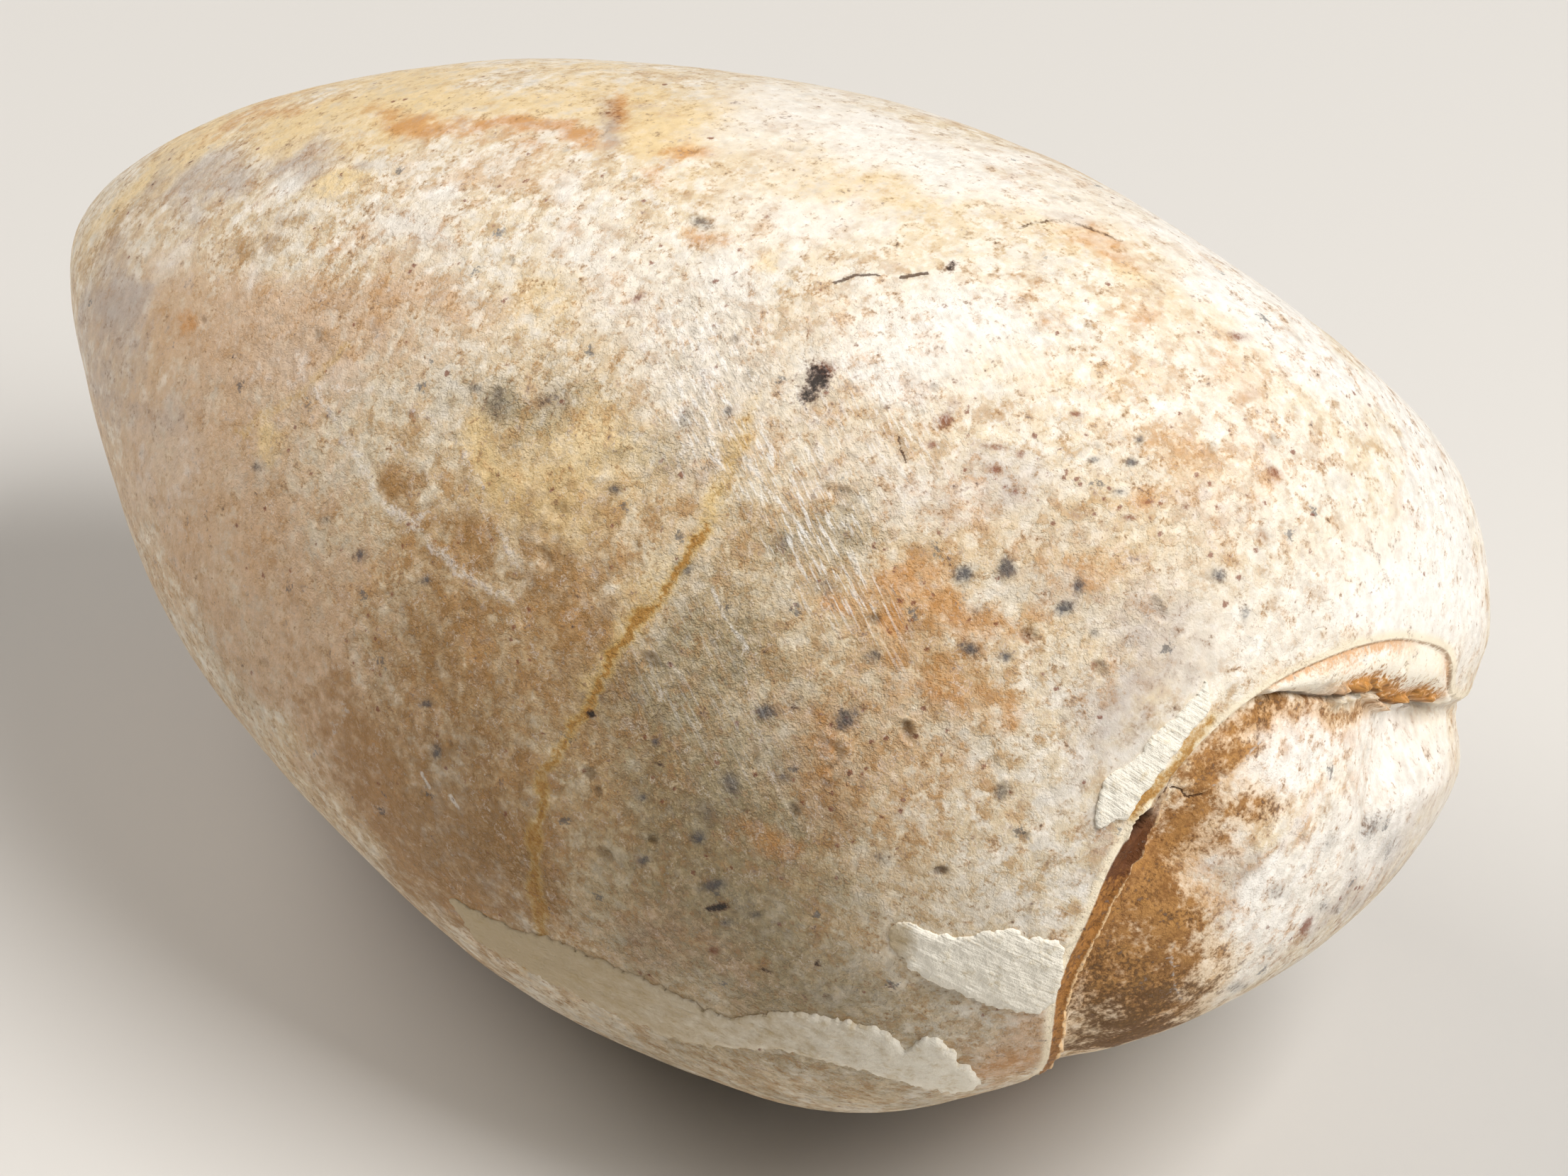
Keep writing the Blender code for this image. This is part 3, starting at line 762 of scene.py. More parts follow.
LINES: tuple[Line, ...] = (
    Line(Mark.OCHRE_SEAM, 0.42, 0.03, 1.0, (
        (-3.2, 2.4), (-3.9, 0.9), (-4.9, -0.3), (-6.1, -1.7), (-6.9, -2.9), (-7.5, -4.2),
    )),
    Line(Mark.OCHRE_SEAM, 0.4, 0.02, 0.8, (
        (-7.5, -4.2), (-8.5, -5.7), (-9.4, -7.3), (-9.7, -8.7), (-9.9, -10.4), (-9.8, -12.6),
        (-9.6, -13.9), (-10.1, -15.0),
    )),
    Line(Mark.OCHRE_SEAM, 0.7, 0.0, 0.45, ((-1.2, 7.4), (-1.9, 5.4), (-3.2, 2.4))),
    Line(Mark.OCHRE_SEAM, 0.55, 0.0, 0.85, (
        (16.8, -5.3), (15.9, -6.6), (15.1, -7.6), (14.4, -8.4), (13.8, -8.9),
    )),
    Line(Mark.OCHRE_SEAM, 0.3, 0.0, 0.45, ((-21.5, 6.2), (-19.3, 7.7), (-17.4, 9.6))),
    Line(Mark.DARK, 0.10, 0.14, 1.0, ((15.75, -7.8), (15.5, -8.3), (15.1, -8.9))),
    Line(Mark.DARK, 0.08, 0.10, 0.9, ((15.8, -8.25), (16.3, -8.35), (16.5, -8.6), (17.1, -8.45))),
    Line(Mark.PALE, 0.1, -0.02, 0.55, (
        (15.7, -14.2), (15.5, -14.6), (15.5, -15.3), (15.6, -15.9), (15.9, -16.5),
    )),
    Line(Mark.DARK, 0.10, 0.03, 0.9, ((2.0, 12.1), (2.8, 12.4), (3.7, 12.35))),
    Line(Mark.DARK, 0.11, 0.03, 1.0, ((4.6, 12.25), (5.2, 12.35), (5.7, 12.5))),
    Line(Mark.DARK, 0.08, 0.04, 0.8, ((4.5, 6.0), (4.65, 5.5), (4.85, 5.0))),
    Line(Mark.DARK, 0.12, 0.0, 0.5, ((9.2, 14.3), (10.4, 14.6), (11.9, 14.4), (13.3, 13.7))),
    Line(Mark.PALE, 0.2, 0.0, 0.3, ((-17.4, -4.2), (-17.5, -5.2), (-18.1, -6.2), (-19.0, -7.0))),
    Line(Mark.PALE, 0.12, 0.0, 0.9, ((-14.4, -7.3), (-14.1, -7.9))),
    Line(Mark.PALE, 0.12, 0.0, 0.9, ((-13.3, -8.2), (-12.9, -8.8))),
    Line(Mark.PALE, 0.34, -0.02, 0.6, (
        (-18.7, 8.0), (-17.6, 6.6), (-17.0, 5.0), (-16.3, 4.0), (-15.5, 2.9), (-14.4, 2.1),
        (-13.2, 1.0), (-12.0, 0.0), (-10.8, -0.5),
    )),
    Line(Mark.PALE, 0.3, -0.02, 0.5, (
        (-18.7, 8.0), (-15.8, 7.8), (-14.0, 6.8), (-12.8, 5.6), (-12.0, 4.0), (-11.8, 2.9),
        (-11.0, 1.9), (-10.6, 0.8),
    )),
    Line(Mark.PALE, 0.2, -0.02, 0.45, ((-15.2, 5.6), (-14.3, 4.8), (-13.8, 3.6), (-14.4, 2.6))),
    Line(Mark.PALE, 0.24, -0.03, 0.55, ((-3.4, 10.6), (-3.1, 8.0), (-2.9, 5.6), (-2.4, 4.6))),
    Line(Mark.PALE, 0.22, 0.0, 0.8, ((-1.5, 5.1), (0.0, 3.2), (0.9, 2.0))),
    Line(Mark.PALE, 0.2, 0.0, 0.7, ((-2.8, 0.0), (-2.3, -1.2), (-1.5, -2.3))),
    Line(Mark.PALE, 0.2, 0.0, 0.4, ((-1.9, -2.2), (-1.3, -4.6), (-0.6, -7.4), (0.6, -9.4))),
    Line(Mark.PALE, 0.28, -0.10, 0.3, ((1.7, -5.7), (2.4, -6.0), (2.6, -6.6), (2.3, -7.2), (1.9, -7.5))),
    Line(Mark.DARK, 0.18, 0.10, 0.35, ((2.0, -6.3), (2.2, -6.7), (1.9, -7.1))),
    Line(Mark.PALE, 0.3, 0.0, 0.8, ((22.0, -7.6), (20.4, -9.4), (19.4, -10.8))),
    Line(Mark.PALE, 0.22, 0.0, 0.7, ((21.2, -9.8), (20.2, -11.6), (19.4, -13.0))),
    Line(Mark.PALE, 0.14, -0.02, 0.5, ((19.6, -5.9), (18.4, -7.2), (17.6, -8.0), (17.0, -8.4))),
    Line(Mark.PALE, 0.22, 0.0, 0.7, ((24.2, -2.4), (23.3, -2.9), (22.6, -2.9))),
)


@dataclass(frozen=True)
class Wander:
    """How far the edges of stains and of lines wander, and from how far apart, in mm."""

    stain_reach: float = 1.3
    stain_size: float = 3.2
    line_reach: float = 0.3
    line_size: float = 0.9


@dataclass(frozen=True)
class Strokes:
    """The grinding strokes: their slopes in degrees and how much they stretch the noise."""

    steep_slope: float = -62.0
    low_slope: float = -30.0
    along: float = 0.06
    inward: float = 0.5


@dataclass(frozen=True)
class EdgeLengths:
    """How long the skin's mesh edges may be on each part of it, in mm.

    The shown side is coarser left of the narrow end's limit, and the lip is fine up to a
    station of its line.
    """

    hidden: float = 0.95
    turned_away: float = 0.55
    shown: float = 0.32
    wall: float = 0.19
    crease: float = 0.12
    far_lip: float = 0.3
    spot: float = 0.12
    finest: float = 0.1
    narrow_end: float = -17.0
    last_fine_station: float = 15.5


@dataclass(frozen=True)
class SlitShape:
    """Heights, depths and reaches of what lies along the lip and the slit, in mm."""

    rim_rise: float = 0.06
    rim_reach: float = 0.3
    ridge_height: float = 0.17
    ridge_width: float = 0.14
    splinter_growth: float = 0.9
    foot_drop: float = 0.22
    foot_reach: float = 2.6
    groove_depth: float = 0.30
    groove_width: float = 0.12
    lens_swell: float = -0.16
    crumb_height: float = 0.34
    crumb_roughness: float = 0.6
    bevel_depth: float = 0.45
    bevel_reach: float = 2.8
    scab_height: float = 0.07
    lower_scab_height: float = 0.08
    dome_reach: float = 5.5
    arch_more_reach: float = 1.5
    notch_less_reach: float = 4.0


class SurfaceMap:
    """Reads every field that the skin's shape and finish depend on, at places on the form."""

    def __init__(self, form: EggForm, sight: Sight) -> None:
        """Keep the form and the sight, and strew the small pits.

        Args:
            form: the ground egg.
            sight: the side that marks are placed from.
        """
        self.form = form
        self.sight = sight
        self.lip = LipLine(form)
        self.wander = Wander()
        self.strokes = Strokes()
        self.edges = EdgeLengths()
        self.slit = SlitShape()
        self.pit_rows = self._pit_rows(SeededPits())

    def _pit_rows(self, strewn: SeededPits) -> list[tuple[Array, Array, float, float, float, float]]:
        """Every pit as its centre, its long way, radius, depth, stretch and painted shade."""
        known = self.sight.cast(self.form, np.array([(pit.right, pit.up) for pit in KNOWN_PITS]))
        axes = self.sight.axes()
        rows = []
        for centre, pit in zip(known, KNOWN_PITS):
            a = math.radians(pit.slope)
            way = math.cos(a) * axes[0] + math.sin(a) * axes[1]
            rows.append((centre, way, pit.radius, pit.depth, pit.stretch, pit.dark))
        draw = np.random.default_rng(strewn.seed)
        spread = draw.normal(size=(strewn.count, 3)) * np.array((1.7, 1.0, 1.0))
        for centre in self.form.onto(spread):
            radius = draw.uniform(strewn.smallest, strewn.largest)
            way = draw.normal(size=3)
            way /= np.linalg.norm(way)
            depth = radius * draw.uniform(0.2, 0.5)
            rows.append((centre, way, radius, depth, draw.uniform(1.0, 1.8), draw.uniform(0.0, 0.35)))
        return rows

    def edge_size(self, places: Array) -> Array:
        """How long a mesh edge may be at each place, in mm."""
        facing = self.sight.facing(places, self.form.outward(places))
        flat = self.sight.flat(places)
        edges = self.edges
        size = np.where(facing > -0.12, edges.turned_away, edges.hidden)
        size = np.where((facing > 0.1) & (flat[:, 0] > edges.narrow_end), edges.shown, size)
        reading = self.lip.read(places)
        seen = reading.station < edges.last_fine_station
        past = reading.past_foot()
        in_wall = (reading.side < 0.25) & (past < 0.9)
        at_edge = (np.abs(reading.side) < 0.25) | (np.abs(past) < 0.3)
        size = np.where(in_wall & seen, np.minimum(size, edges.wall), size)
        size = np.where(in_wall & seen & at_edge, np.minimum(size, edges.crease), size)
        size = np.where((np.abs(reading.side) < 0.8) & ~seen, np.minimum(size, edges.far_lip), size)
        for centre, _, radius, _, stretch, _ in self.pit_rows:
            close = ((places - centre) ** 2).sum(axis=1) < (radius * stretch * 1.5) ** 2
            size = np.where(close, np.minimum(size, max(edges.finest, radius * 0.45)), size)
        front = np.flatnonzero(facing > 0.05)
        for spots in SPOTS.values():
            for spot in spots:
                fine = front[spot.share(flat[front], 0.5, 1.5) > 0.0]
                size[fine] = np.minimum(size[fine], max(edges.spot, spot.width * 0.55))
        for line in LINES:
            gap = distance_to_path(flat[front], np.array(line.points))
            fine = front[gap < line.width * 1.5]
            size[fine] = np.minimum(size[fine], max(edges.finest, line.width * 0.6))
        return size

    def pits(self, places: Array) -> tuple[Array, Array]:
        """Depth in mm and the painted shade that the pits' floors give each place."""
        depth = np.zeros(len(places))
        dark = np.zeros(len(places))
        for centre, way, radius, deep, stretch, shade in self.pit_rows:
            close = np.flatnonzero(((places - centre) ** 2).sum(axis=1) < (radius * stretch * 1.5) ** 2)
            if not len(close):
                continue
            offset = places[close] - centre
            along = offset @ way
            across = np.maximum((offset ** 2).sum(axis=1) - along ** 2, 0.0)
            gap = np.sqrt(across + (along / stretch) ** 2) / radius
            bowl = np.clip(1.0 - gap ** 2, 0.0, 1.0)
            rim = 0.16 * bell(gap - 1.1, 0.18)
            depth[close] += deep * (np.sqrt(bowl) * 0.6 + bowl * 0.4 - rim)
            dark[close] = np.maximum(dark[close], shade * smooth_step(0.0, 0.5, bowl))
        return depth, dark

    def lines(self, places: Array, flat: Array, facing: Array) -> tuple[Array, dict[Mark, Array]]:
        """Depth in mm and the strength of each kind of line at each place."""
        depth = np.zeros(len(flat))
        wander = two_clouds(places, self.wander.line_size, 12.0) * self.wander.line_reach
        strength = {mark: np.zeros(len(flat)) for mark in Mark}
        rows = np.flatnonzero(facing > 0.0)
        for line in LINES:
            loose = flat[rows] + wander[rows] * min(1.0, line.width / 0.4)
            gap = distance_to_path(loose, np.array(line.points)) / line.width
            share = 1.0 - smooth_step(0.2, 1.0, gap)
            depth[rows] += line.depth * share
            strength[line.mark][rows] = np.maximum(strength[line.mark][rows], line.strength * share)
        return depth, strength

    def spots(self, flat: Array, facing: Array) -> dict[Spot, Array]:
        """Strength of each kind of spot at each place of the shown side."""
        strength = {kind: np.zeros(len(flat)) for kind in Spot}
        rows = np.flatnonzero(facing > 0.0)
        for kind, spots in SPOTS.items():
            for spot in spots:
                share = spot.share(flat[rows], 0.0, 1.8)
                strength[kind][rows] = np.maximum(strength[kind][rows], share)
        return strength

    def tones(self, places: Array, flat: Array) -> dict[Tone, Array]:
        """Strength of every tone at each place, with wandering edges."""
        drift = two_clouds(places, self.wander.stain_size, 1.0) * self.wander.stain_reach
        strength = {}
        for tone, stains in STAINS.items():
            bare = np.ones(len(places))
            for stain in stains:
                bare *= 1.0 - stain.share(flat + drift * min(1.0, stain.width), 0.1, 1.5)
            strength[tone] = 1.0 - bare
        return strength

    def brush_place(self, places: Array, low: Array) -> Array:
        """Coordinates that stretch noise along the grinding strokes.

        Args:
            places: places in mm.
            low: 1 where the lower, flatter strokes run and 0 where the steep ones do.

        Returns:
            One place for each, long along the strokes and fine across them.
        """
        right, up, back = (places @ self.sight.axes().T).T
        strokes = self.strokes
        slope = np.radians(np.where(low > 0.5, strokes.low_slope, strokes.steep_slope))
        along = right * np.cos(slope) + up * np.sin(slope)
        across = -right * np.sin(slope) + up * np.cos(slope)
        return np.column_stack((along * strokes.along, across, back * strokes.inward))

    def slit_relief(self, places: Array, reading: LipReading) -> Array:
        """Depth in mm under the ground egg that the lip and the slit give each place."""
        slit = self.slit
        inside = reading.inside()
        past = reading.past_foot()
        near = np.flatnonzero((reading.side < 0.5) & (past < 3.0) & (reading.station < 16.0))
        rough = np.zeros(len(places))
        rough[near] = clouds(places[near], 0.55, 4, 3.0)
        lower = reading.along(LOWER_FRONT)
        arch = reading.along(ARCH)
        wall = np.clip(inside, 0.0, 1.0)
        steep = smooth_step(0.0, 0.75, wall) * 0.35 + 0.65 * wall
        wall = np.where(arch > 0.5, 0.12 * smooth_step(0.0, 0.06, wall) + 0.88 * wall ** 2.4, steep)
        reach = slit.dome_reach + slit.arch_more_reach * (1.0 - smooth_step(4.5, 7.5, reading.station))
        reach -= slit.notch_less_reach * (1.0 - smooth_step(2.6, 4.6, reading.station))
        rise = 1.0 - smooth_step(0.0, 1.0, past / reach)
        deep = reading.depth * wall * rise
        rim = slit.rim_rise * (1.0 - smooth_step(0.0, slit.rim_reach, np.abs(reading.side)))
        splinter = 1.0 + slit.splinter_growth * bell(reading.station - 11.0, 0.5)
        ridge = bell(past + slit.ridge_width - 0.16 * rough, slit.ridge_width)
        ridge = lower * slit.ridge_height * splinter * ridge
        drop = lower * slit.foot_drop * smooth_step(0.0, 0.2, past)
        drop = drop * (1.0 - smooth_step(0.5, slit.foot_reach, past))
        groove = arch * slit.groove_depth * bell(past + 0.06 - 0.1 * rough, slit.groove_width)
        swell = arch * slit.lens_swell * np.sin(np.pi * np.clip(inside, 0.0, 1.0)) ** 2
        crumbs = reading.along(CRUMBLING_LEDGE) * smooth_step(-0.75, -0.2, past)
        crumbs = crumbs * (1.0 - smooth_step(0.15, 0.5, past))
        grain = smooth_step(0.0, 0.2, inside) * (1.0 - smooth_step(1.0, 3.0, past)) * (1.0 - 0.7 * arch)
        lumps = crumbs * (slit.crumb_height + slit.crumb_roughness * rough)
        outer = 1.0 - smooth_step(0.0, slit.bevel_reach, reading.side)
        notch = smooth_step(0.0, 0.5, reading.depth) * (1.0 - smooth_step(3.0, 4.6, reading.station))
        bevel = slit.bevel_depth * notch * outer * rise
        scab = slit.scab_height + slit.lower_scab_height * lower * (wall > 0.1) * (past < 0.0)
        return deep + rim - ridge + drop + groove + swell + bevel - lumps - scab * grain * rough


# ---------------------------------------------------------------- finishes


class NodeBench:
    """Builds one material's nodes. Lengths are in mm, read from the mesh's own coordinates.

    A Value is a link to another node, a plain colour or a plain number.
    """

    def __init__(self, name: str) -> None:
        """Start a material with only its shader and output."""
        self.material = bpy.data.materials.new(name)
        self.material.use_nodes = True
        self.tree = self.material.node_tree
        self.tree.nodes.clear()
        self.shader = self.tree.nodes.new("ShaderNodeBsdfPrincipled")
        self._node("ShaderNodeOutputMaterial", {"Surface": self.shader.outputs["BSDF"]})

    def _node(self, kind: str, values: dict[str | int, Value]) -> bpy.types.Node:
        """A new node that needs no settings, with what its sockets take."""
        return self._fill(self.tree.nodes.new(kind), values)

    def _fill(self, node: bpy.types.Node, values: dict[str | int, Value]) -> bpy.types.Node:
        """Link a node's named or numbered sockets to others, or set them to plain values."""
        for name, value in values.items():
            if isinstance(value, Socket):
                self.tree.links.new(value, node.inputs[name])
            else:
                node.inputs[name].default_value = value
        return node

    def finished(self, values: dict[str, Value]) -> bpy.types.Material:
        """The material, once the shader's named sockets have their values."""
        self._fill(self.shader, values)
        return self.material

    def _stored(self, name: str) -> bpy.types.Node:
        """A node that reads what the mesh stores at each vertex under a name."""
        node = self.tree.nodes.new("ShaderNodeAttribute")
        node.attribute_name = name
        return node

    def field(self, name: str | Enum) -> Socket:
        """A number that the mesh stores at each vertex."""
        return self._stored(name.value if isinstance(name, Enum) else name).outputs["Fac"]

    def place(self, name: str = "place") -> Socket:
        """Coordinates in mm that the mesh stores at each vertex."""
        return self._stored(name).outputs["Vector"]

    def noise(self, place: Socket, per_mm: float, detail: float, roughness: float) -> Socket:
        """Fractal noise about 0, -0.5 to 0.5, with so many humps in a mm."""
        node = self._noise_node(place, per_mm, detail, roughness)
        return self.math("SUBTRACT", node.outputs["Fac"], 0.5)

    def three_noises(
        self, place: Socket, per_mm: float, detail: float, roughness: float
    ) -> list[Socket]:
        """Three separate noises about 0 of one scale."""
        colour = self._noise_node(place, per_mm, detail, roughness).outputs["Color"]
        node = self._node("ShaderNodeSeparateColor", {"Color": colour})
        return [self.math("SUBTRACT", node.outputs[i], 0.5) for i in range(3)]

    def _noise_node(
        self, place: Socket, per_mm: float, detail: float, roughness: float
    ) -> bpy.types.Node:
        """A noise node."""
        values = {"Scale": per_mm, "Detail": detail, "Roughness": roughness, "Vector": place}
        return self._node("ShaderNodeTexNoise", values)

    def cells(self, place: Socket, per_mm: float) -> tuple[Socket, Socket]:
        """Distance to the nearest of scattered centres, and a random number of that centre's own."""
        node = self._node("ShaderNodeTexVoronoi", {"Scale": per_mm, "Vector": place})
        own = self._node("ShaderNodeSeparateColor", {"Color": node.outputs["Color"]})
        return node.outputs["Distance"], own.outputs[0]

    def math(self, kind: str, a: Value, b: Value = 0.0, c: Value = 0.0) -> Socket:
        """One sum on numbers."""
        node = self.tree.nodes.new("ShaderNodeMath")
        node.operation = kind
        return self._fill(node, {0: a, 1: b, 2: c}).outputs["Value"]

    def sum(self, *terms: Value | tuple[Value, float]) -> Socket:
        """The terms added up; a (value, factor) pair is first multiplied out."""
        total: Value = 0.0
        for term in terms:
            if isinstance(term, tuple):
                total = self.math("MULTIPLY_ADD", term[0], term[1], total)
            else:
                total = self.math("ADD", term, total)
        return total

    def both(self, *shares: Value) -> Socket:
        """All the shares multiplied."""
        total = shares[0]
        for share in shares[1:]:
            total = self.math("MULTIPLY", total, share)
        return total

    def step(self, value: Value, low: float, high: float) -> Socket:
        """0 below low, 1 above high and an even S between them; low may be the larger."""
        node = self.tree.nodes.new("ShaderNodeMapRange")
        node.interpolation_type = "SMOOTHSTEP"
        values = {
            "Value": value,
            "From Min": min(low, high),
            "From Max": max(low, high),
            "To Min": 0.0 if low < high else 1.0,
            "To Max": 1.0 if low < high else 0.0,
        }
        return self._fill(node, values).outputs["Result"]

    def rise(self, low: float, high: float, *terms: Value | tuple[Value, float]) -> Socket:
        """A step on the terms added up."""
        return self.step(self.sum(*terms), low, high)

    def thread(self, reach: float, core: float, *terms: Value | tuple[Value, float]) -> Socket:
        """A thin line where the terms add up to 0: 1 within its core and 0 past its reach."""
        return self.step(self.math("ABSOLUTE", self.sum(*terms)), reach, core)

    def mix(self, share: Value, under: Value, over: Value) -> Socket:
        """One colour laid over another."""
        node = self.tree.nodes.new("ShaderNodeMix")
        node.data_type = "RGBA"
        return self._fill(node, {"Factor": share, 6: under, 7: over}).outputs[2]

    def paint(self, colour: Value, *coats: tuple[Value, Value, float]) -> Socket:
        """Coats laid over a colour in turn.

        Args:
            colour: what lies under them all.
            coats: each one's colour, its share from place to place, and the most that its
                share may come to.

        Returns:
            The colour that shows.
        """
        for over, share, most in coats:
            colour = self.mix(self.math("MULTIPLY", share, most), colour, over)
        return colour

    def shade(self, colour: Value, factor: Value) -> Socket:
        """A colour made lighter or darker."""
        node = self.tree.nodes.new("ShaderNodeVectorMath")
        node.operation = "SCALE"
        return self._fill(node, {0: colour, "Scale": factor}).outputs["Vector"]

    def bump(self, height: Socket, depth_mm: float) -> Socket:
        """A normal for a height field that is so many mm deep from 0 to 1."""
        values = {"Strength": 1.0, "Distance": depth_mm * MM, "Height": height}
        return self._node("ShaderNodeBump", values).outputs["Normal"]


@dataclass
class Grain:
    """What the coats of one finish share: the place, its noises and how little it is polished."""

    place: Socket
    mottle: Socket
    cloud: Socket
    fleck: Socket
    grit: Socket
    pocks: Socket
    stroke: Socket
    patch: Socket
    worked: Socket


@dataclass(frozen=True)
class ShellFinish:
    """Polished, stained fossil shell, with the rusty crust of its mouth and painted shade in its hollows,
    creases and lower side.
    """

    cream: Colour = tint("F0E6D6")
    beige: Colour = tint("DCC8A4")
    sand: Colour = tint("C39D66")
    grey: Colour = tint("B3AA9C")
    tan: Colour = tint("CBA684")
    ochre: Colour = tint("9A6C2A")
    yellow: Colour = tint("E9CB90")
    orange: Colour = tint("CC8B40")
    lilac: Colour = tint("B2A49C")
    white: Colour = tint("F7F3EC")
    # Dull grey-brown, laid partly as painted shade on the lower side.
    dun_and_shade: Colour = tint("95835A")
    rust: Colour = tint("7E3F1D")
    slate: Colour = tint("47464A")
    crust_light: Colour = tint("B88443")
    crust_mid: Colour = tint("90602B")
    crust_dark: Colour = tint("482A10")
    wash: Colour = tint("EECB9C")
    tinge: Colour = tint("CB985C")
    gold: Colour = tint("D2AE62")
    # Painted shade for the hollows of the relief.
    umber_shade: Colour = tint("7A6446")
    bark: Colour = tint("5F421A")
    seam: Colour = tint("AD7A2E")
    rim: Colour = tint("F6E8CC")
    lens: Colour = tint("FBF2E0")
    black: Colour = tint("140D08")
    wall: Colour = tint("AE783A")
    # Dark brown: painted shade in the wall's cavity, and the real fringe of the black spots.
    cavity_shade_and_fringe: Colour = tint("5A2E12")

    def material(self) -> bpy.types.Material:
        """The material, for a mesh that stores every field of SurfaceMap."""
        bench = NodeBench("polished_fossil_shell")
        place = bench.place()
        grain = Grain(
            place,
            *bench.three_noises(place, 1.5, 4.0, 0.6),
            grit=bench.noise(place, 6.0, 3.0, 0.66),
            pocks=bench.noise(place, 3.2, 3.0, 0.62),
            stroke=bench.noise(bench.place("brush"), 6.0, 2.0, 0.6),
            patch=bench.field("patch"),
            worked=bench.sum((bench.field(Tone.SMOOTH), -0.85), 1.0),
        )
        colour = self._ground(bench, grain)
        coats = (
            self._stains, self._mottle, self._veins, self._specks,
            self._brushing, self._inner_whorl, self._mouth, self._marks,
        )
        for coat in coats:
            colour = coat(bench, colour, grain)
        worn = bench.sum(
            (grain.grit, 0.35), (grain.mottle, 0.3), (grain.worked, 0.16),
            (bench.field("crust_zone"), 0.25), 0.36,
        )
        return bench.finished({
            "Base Color": colour,
            "Roughness": bench.math("MINIMUM", worn, 0.95),
            "Specular IOR Level": 0.4,
            "Normal": self._relief(bench, grain),
        })

    def _ground(self, bench: NodeBench, grain: Grain) -> Socket:
        """Cream, beige, sand and white mottle that lies under every stain."""
        aged = bench.field(Tone.AGED)
        lighter = bench.mix(aged, self.cream, self.beige)
        darker = bench.mix(aged, self.beige, self.sand)
        share = bench.rise(-0.2, 0.2, (grain.patch, 0.16), (grain.mottle, 1.2), (grain.grit, 0.2))
        colour = bench.mix(share, lighter, darker)
        sandy = bench.rise(0.02, 0.22, (grain.patch, 0.12), (grain.cloud, 1.3), (grain.grit, 0.3))
        colour = bench.paint(colour, (self.sand, bench.both(sandy, grain.worked), 0.5))
        pale = bench.rise(0.05, 0.2, (grain.cloud, -1.1), (grain.grit, 0.35), (grain.patch, -0.1))
        return bench.mix(bench.both(pale, bench.sum((aged, -0.3), 0.45)), colour, self.white)

    def _stains(self, bench: NodeBench, colour: Value, grain: Grain) -> Socket:
        """The soft stains, each broken up by the stone's own mottle."""
        broken = bench.sum((grain.patch, 0.14), (grain.mottle, 1.3), (grain.grit, 0.35))
        torn = bench.sum((grain.cloud, 1.5), (grain.grit, 0.45), (grain.patch, 0.1))
        other = bench.sum((grain.fleck, 1.4), (grain.grit, 0.3), (grain.patch, -0.12))
        layers = (
            # The dun layer is partly painted shade that darkens the lower side.
            (Tone.DUN_AND_SHADE, self.dun_and_shade, other, 0.0, 0.9, 0.8),
            (Tone.TAN, self.tan, broken, 0.0, 0.95, 0.75),
            (Tone.OCHRE, self.ochre, torn, 0.0, 0.95, 0.85),
            (Tone.YELLOW, self.yellow, other, 0.0, 0.95, 0.75),
            (Tone.LILAC, self.lilac, other, 0.05, 0.95, 0.75),
            (Tone.ORANGE, self.orange, torn, 0.05, 1.0, 0.78),
            (Tone.WHITE, self.white, broken, 0.0, 0.95, 0.82),
        )
        for tone, paint, edge, low, high, most in layers:
            share = bench.rise(low, high, bench.field(tone), edge)
            colour = bench.paint(colour, (paint, share, most))
        return colour

    def _mottle(self, bench: NodeBench, colour: Value, grain: Grain) -> Socket:
        """Small warm, grey and dark shifts that run through the ground and the stains alike, and painted
        shade in the hollows of the relief where the grain is coarse.
        """
        tinge = bench.rise(0.03, 0.26, (grain.fleck, 1.2), (grain.patch, 0.12), (grain.grit, 0.4))
        greyish = bench.rise(0.03, 0.28, (grain.patch, -0.14), (grain.fleck, -1.1), (grain.mottle, -0.5))
        colour = bench.paint(
            colour,
            (self.tinge, bench.both(tinge, grain.worked), 0.45),
            (self.grey, greyish, 0.28),
        )
        depth = bench.sum((grain.cloud, -0.5), (grain.pocks, 0.45), (grain.grit, 0.1))
        depth = bench.both(depth, bench.sum((grain.worked, 0.6), 0.4))
        colour = bench.shade(colour, bench.sum((depth, 1.0), 1.0))
        coarse = bench.sum((bench.field(Tone.DUN_AND_SHADE), 0.6), (bench.field(Tone.AGED), 0.3))
        crumb = bench.rise(0.03, 0.16, (grain.grit, 1.0), (grain.pocks, 0.6))
        # Painted shade: umber where the pocks of the relief dip, strongest on the coarse dun ground.
        hollow = bench.rise(-0.06, -0.2, (grain.grit, 1.0), (grain.pocks, 0.8))
        return bench.paint(
            colour,
            (self.beige, bench.both(crumb, coarse), 0.6),
            (self.umber_shade, bench.both(hollow, coarse), 0.5),
        )

    def _veins(self, bench: NodeBench, colour: Value, grain: Grain) -> Socket:
        """Short pale and brown veins along the torn edges of the shell's layers."""
        kinds = (
            (grain.mottle, grain.fleck, 0.018, self.tinge, 0.6),
            (grain.cloud, grain.mottle, 0.022, self.white, 0.35),
        )
        for line, keep, reach, paint, most in kinds:
            vein = bench.thread(reach, 0.0, line, (grain.grit, 0.06))
            kept = bench.rise(0.02, 0.12, keep, (grain.patch, 0.06))
            share = bench.both(vein, kept, bench.both(grain.worked, most))
            colour = bench.mix(share, colour, paint)
        return colour

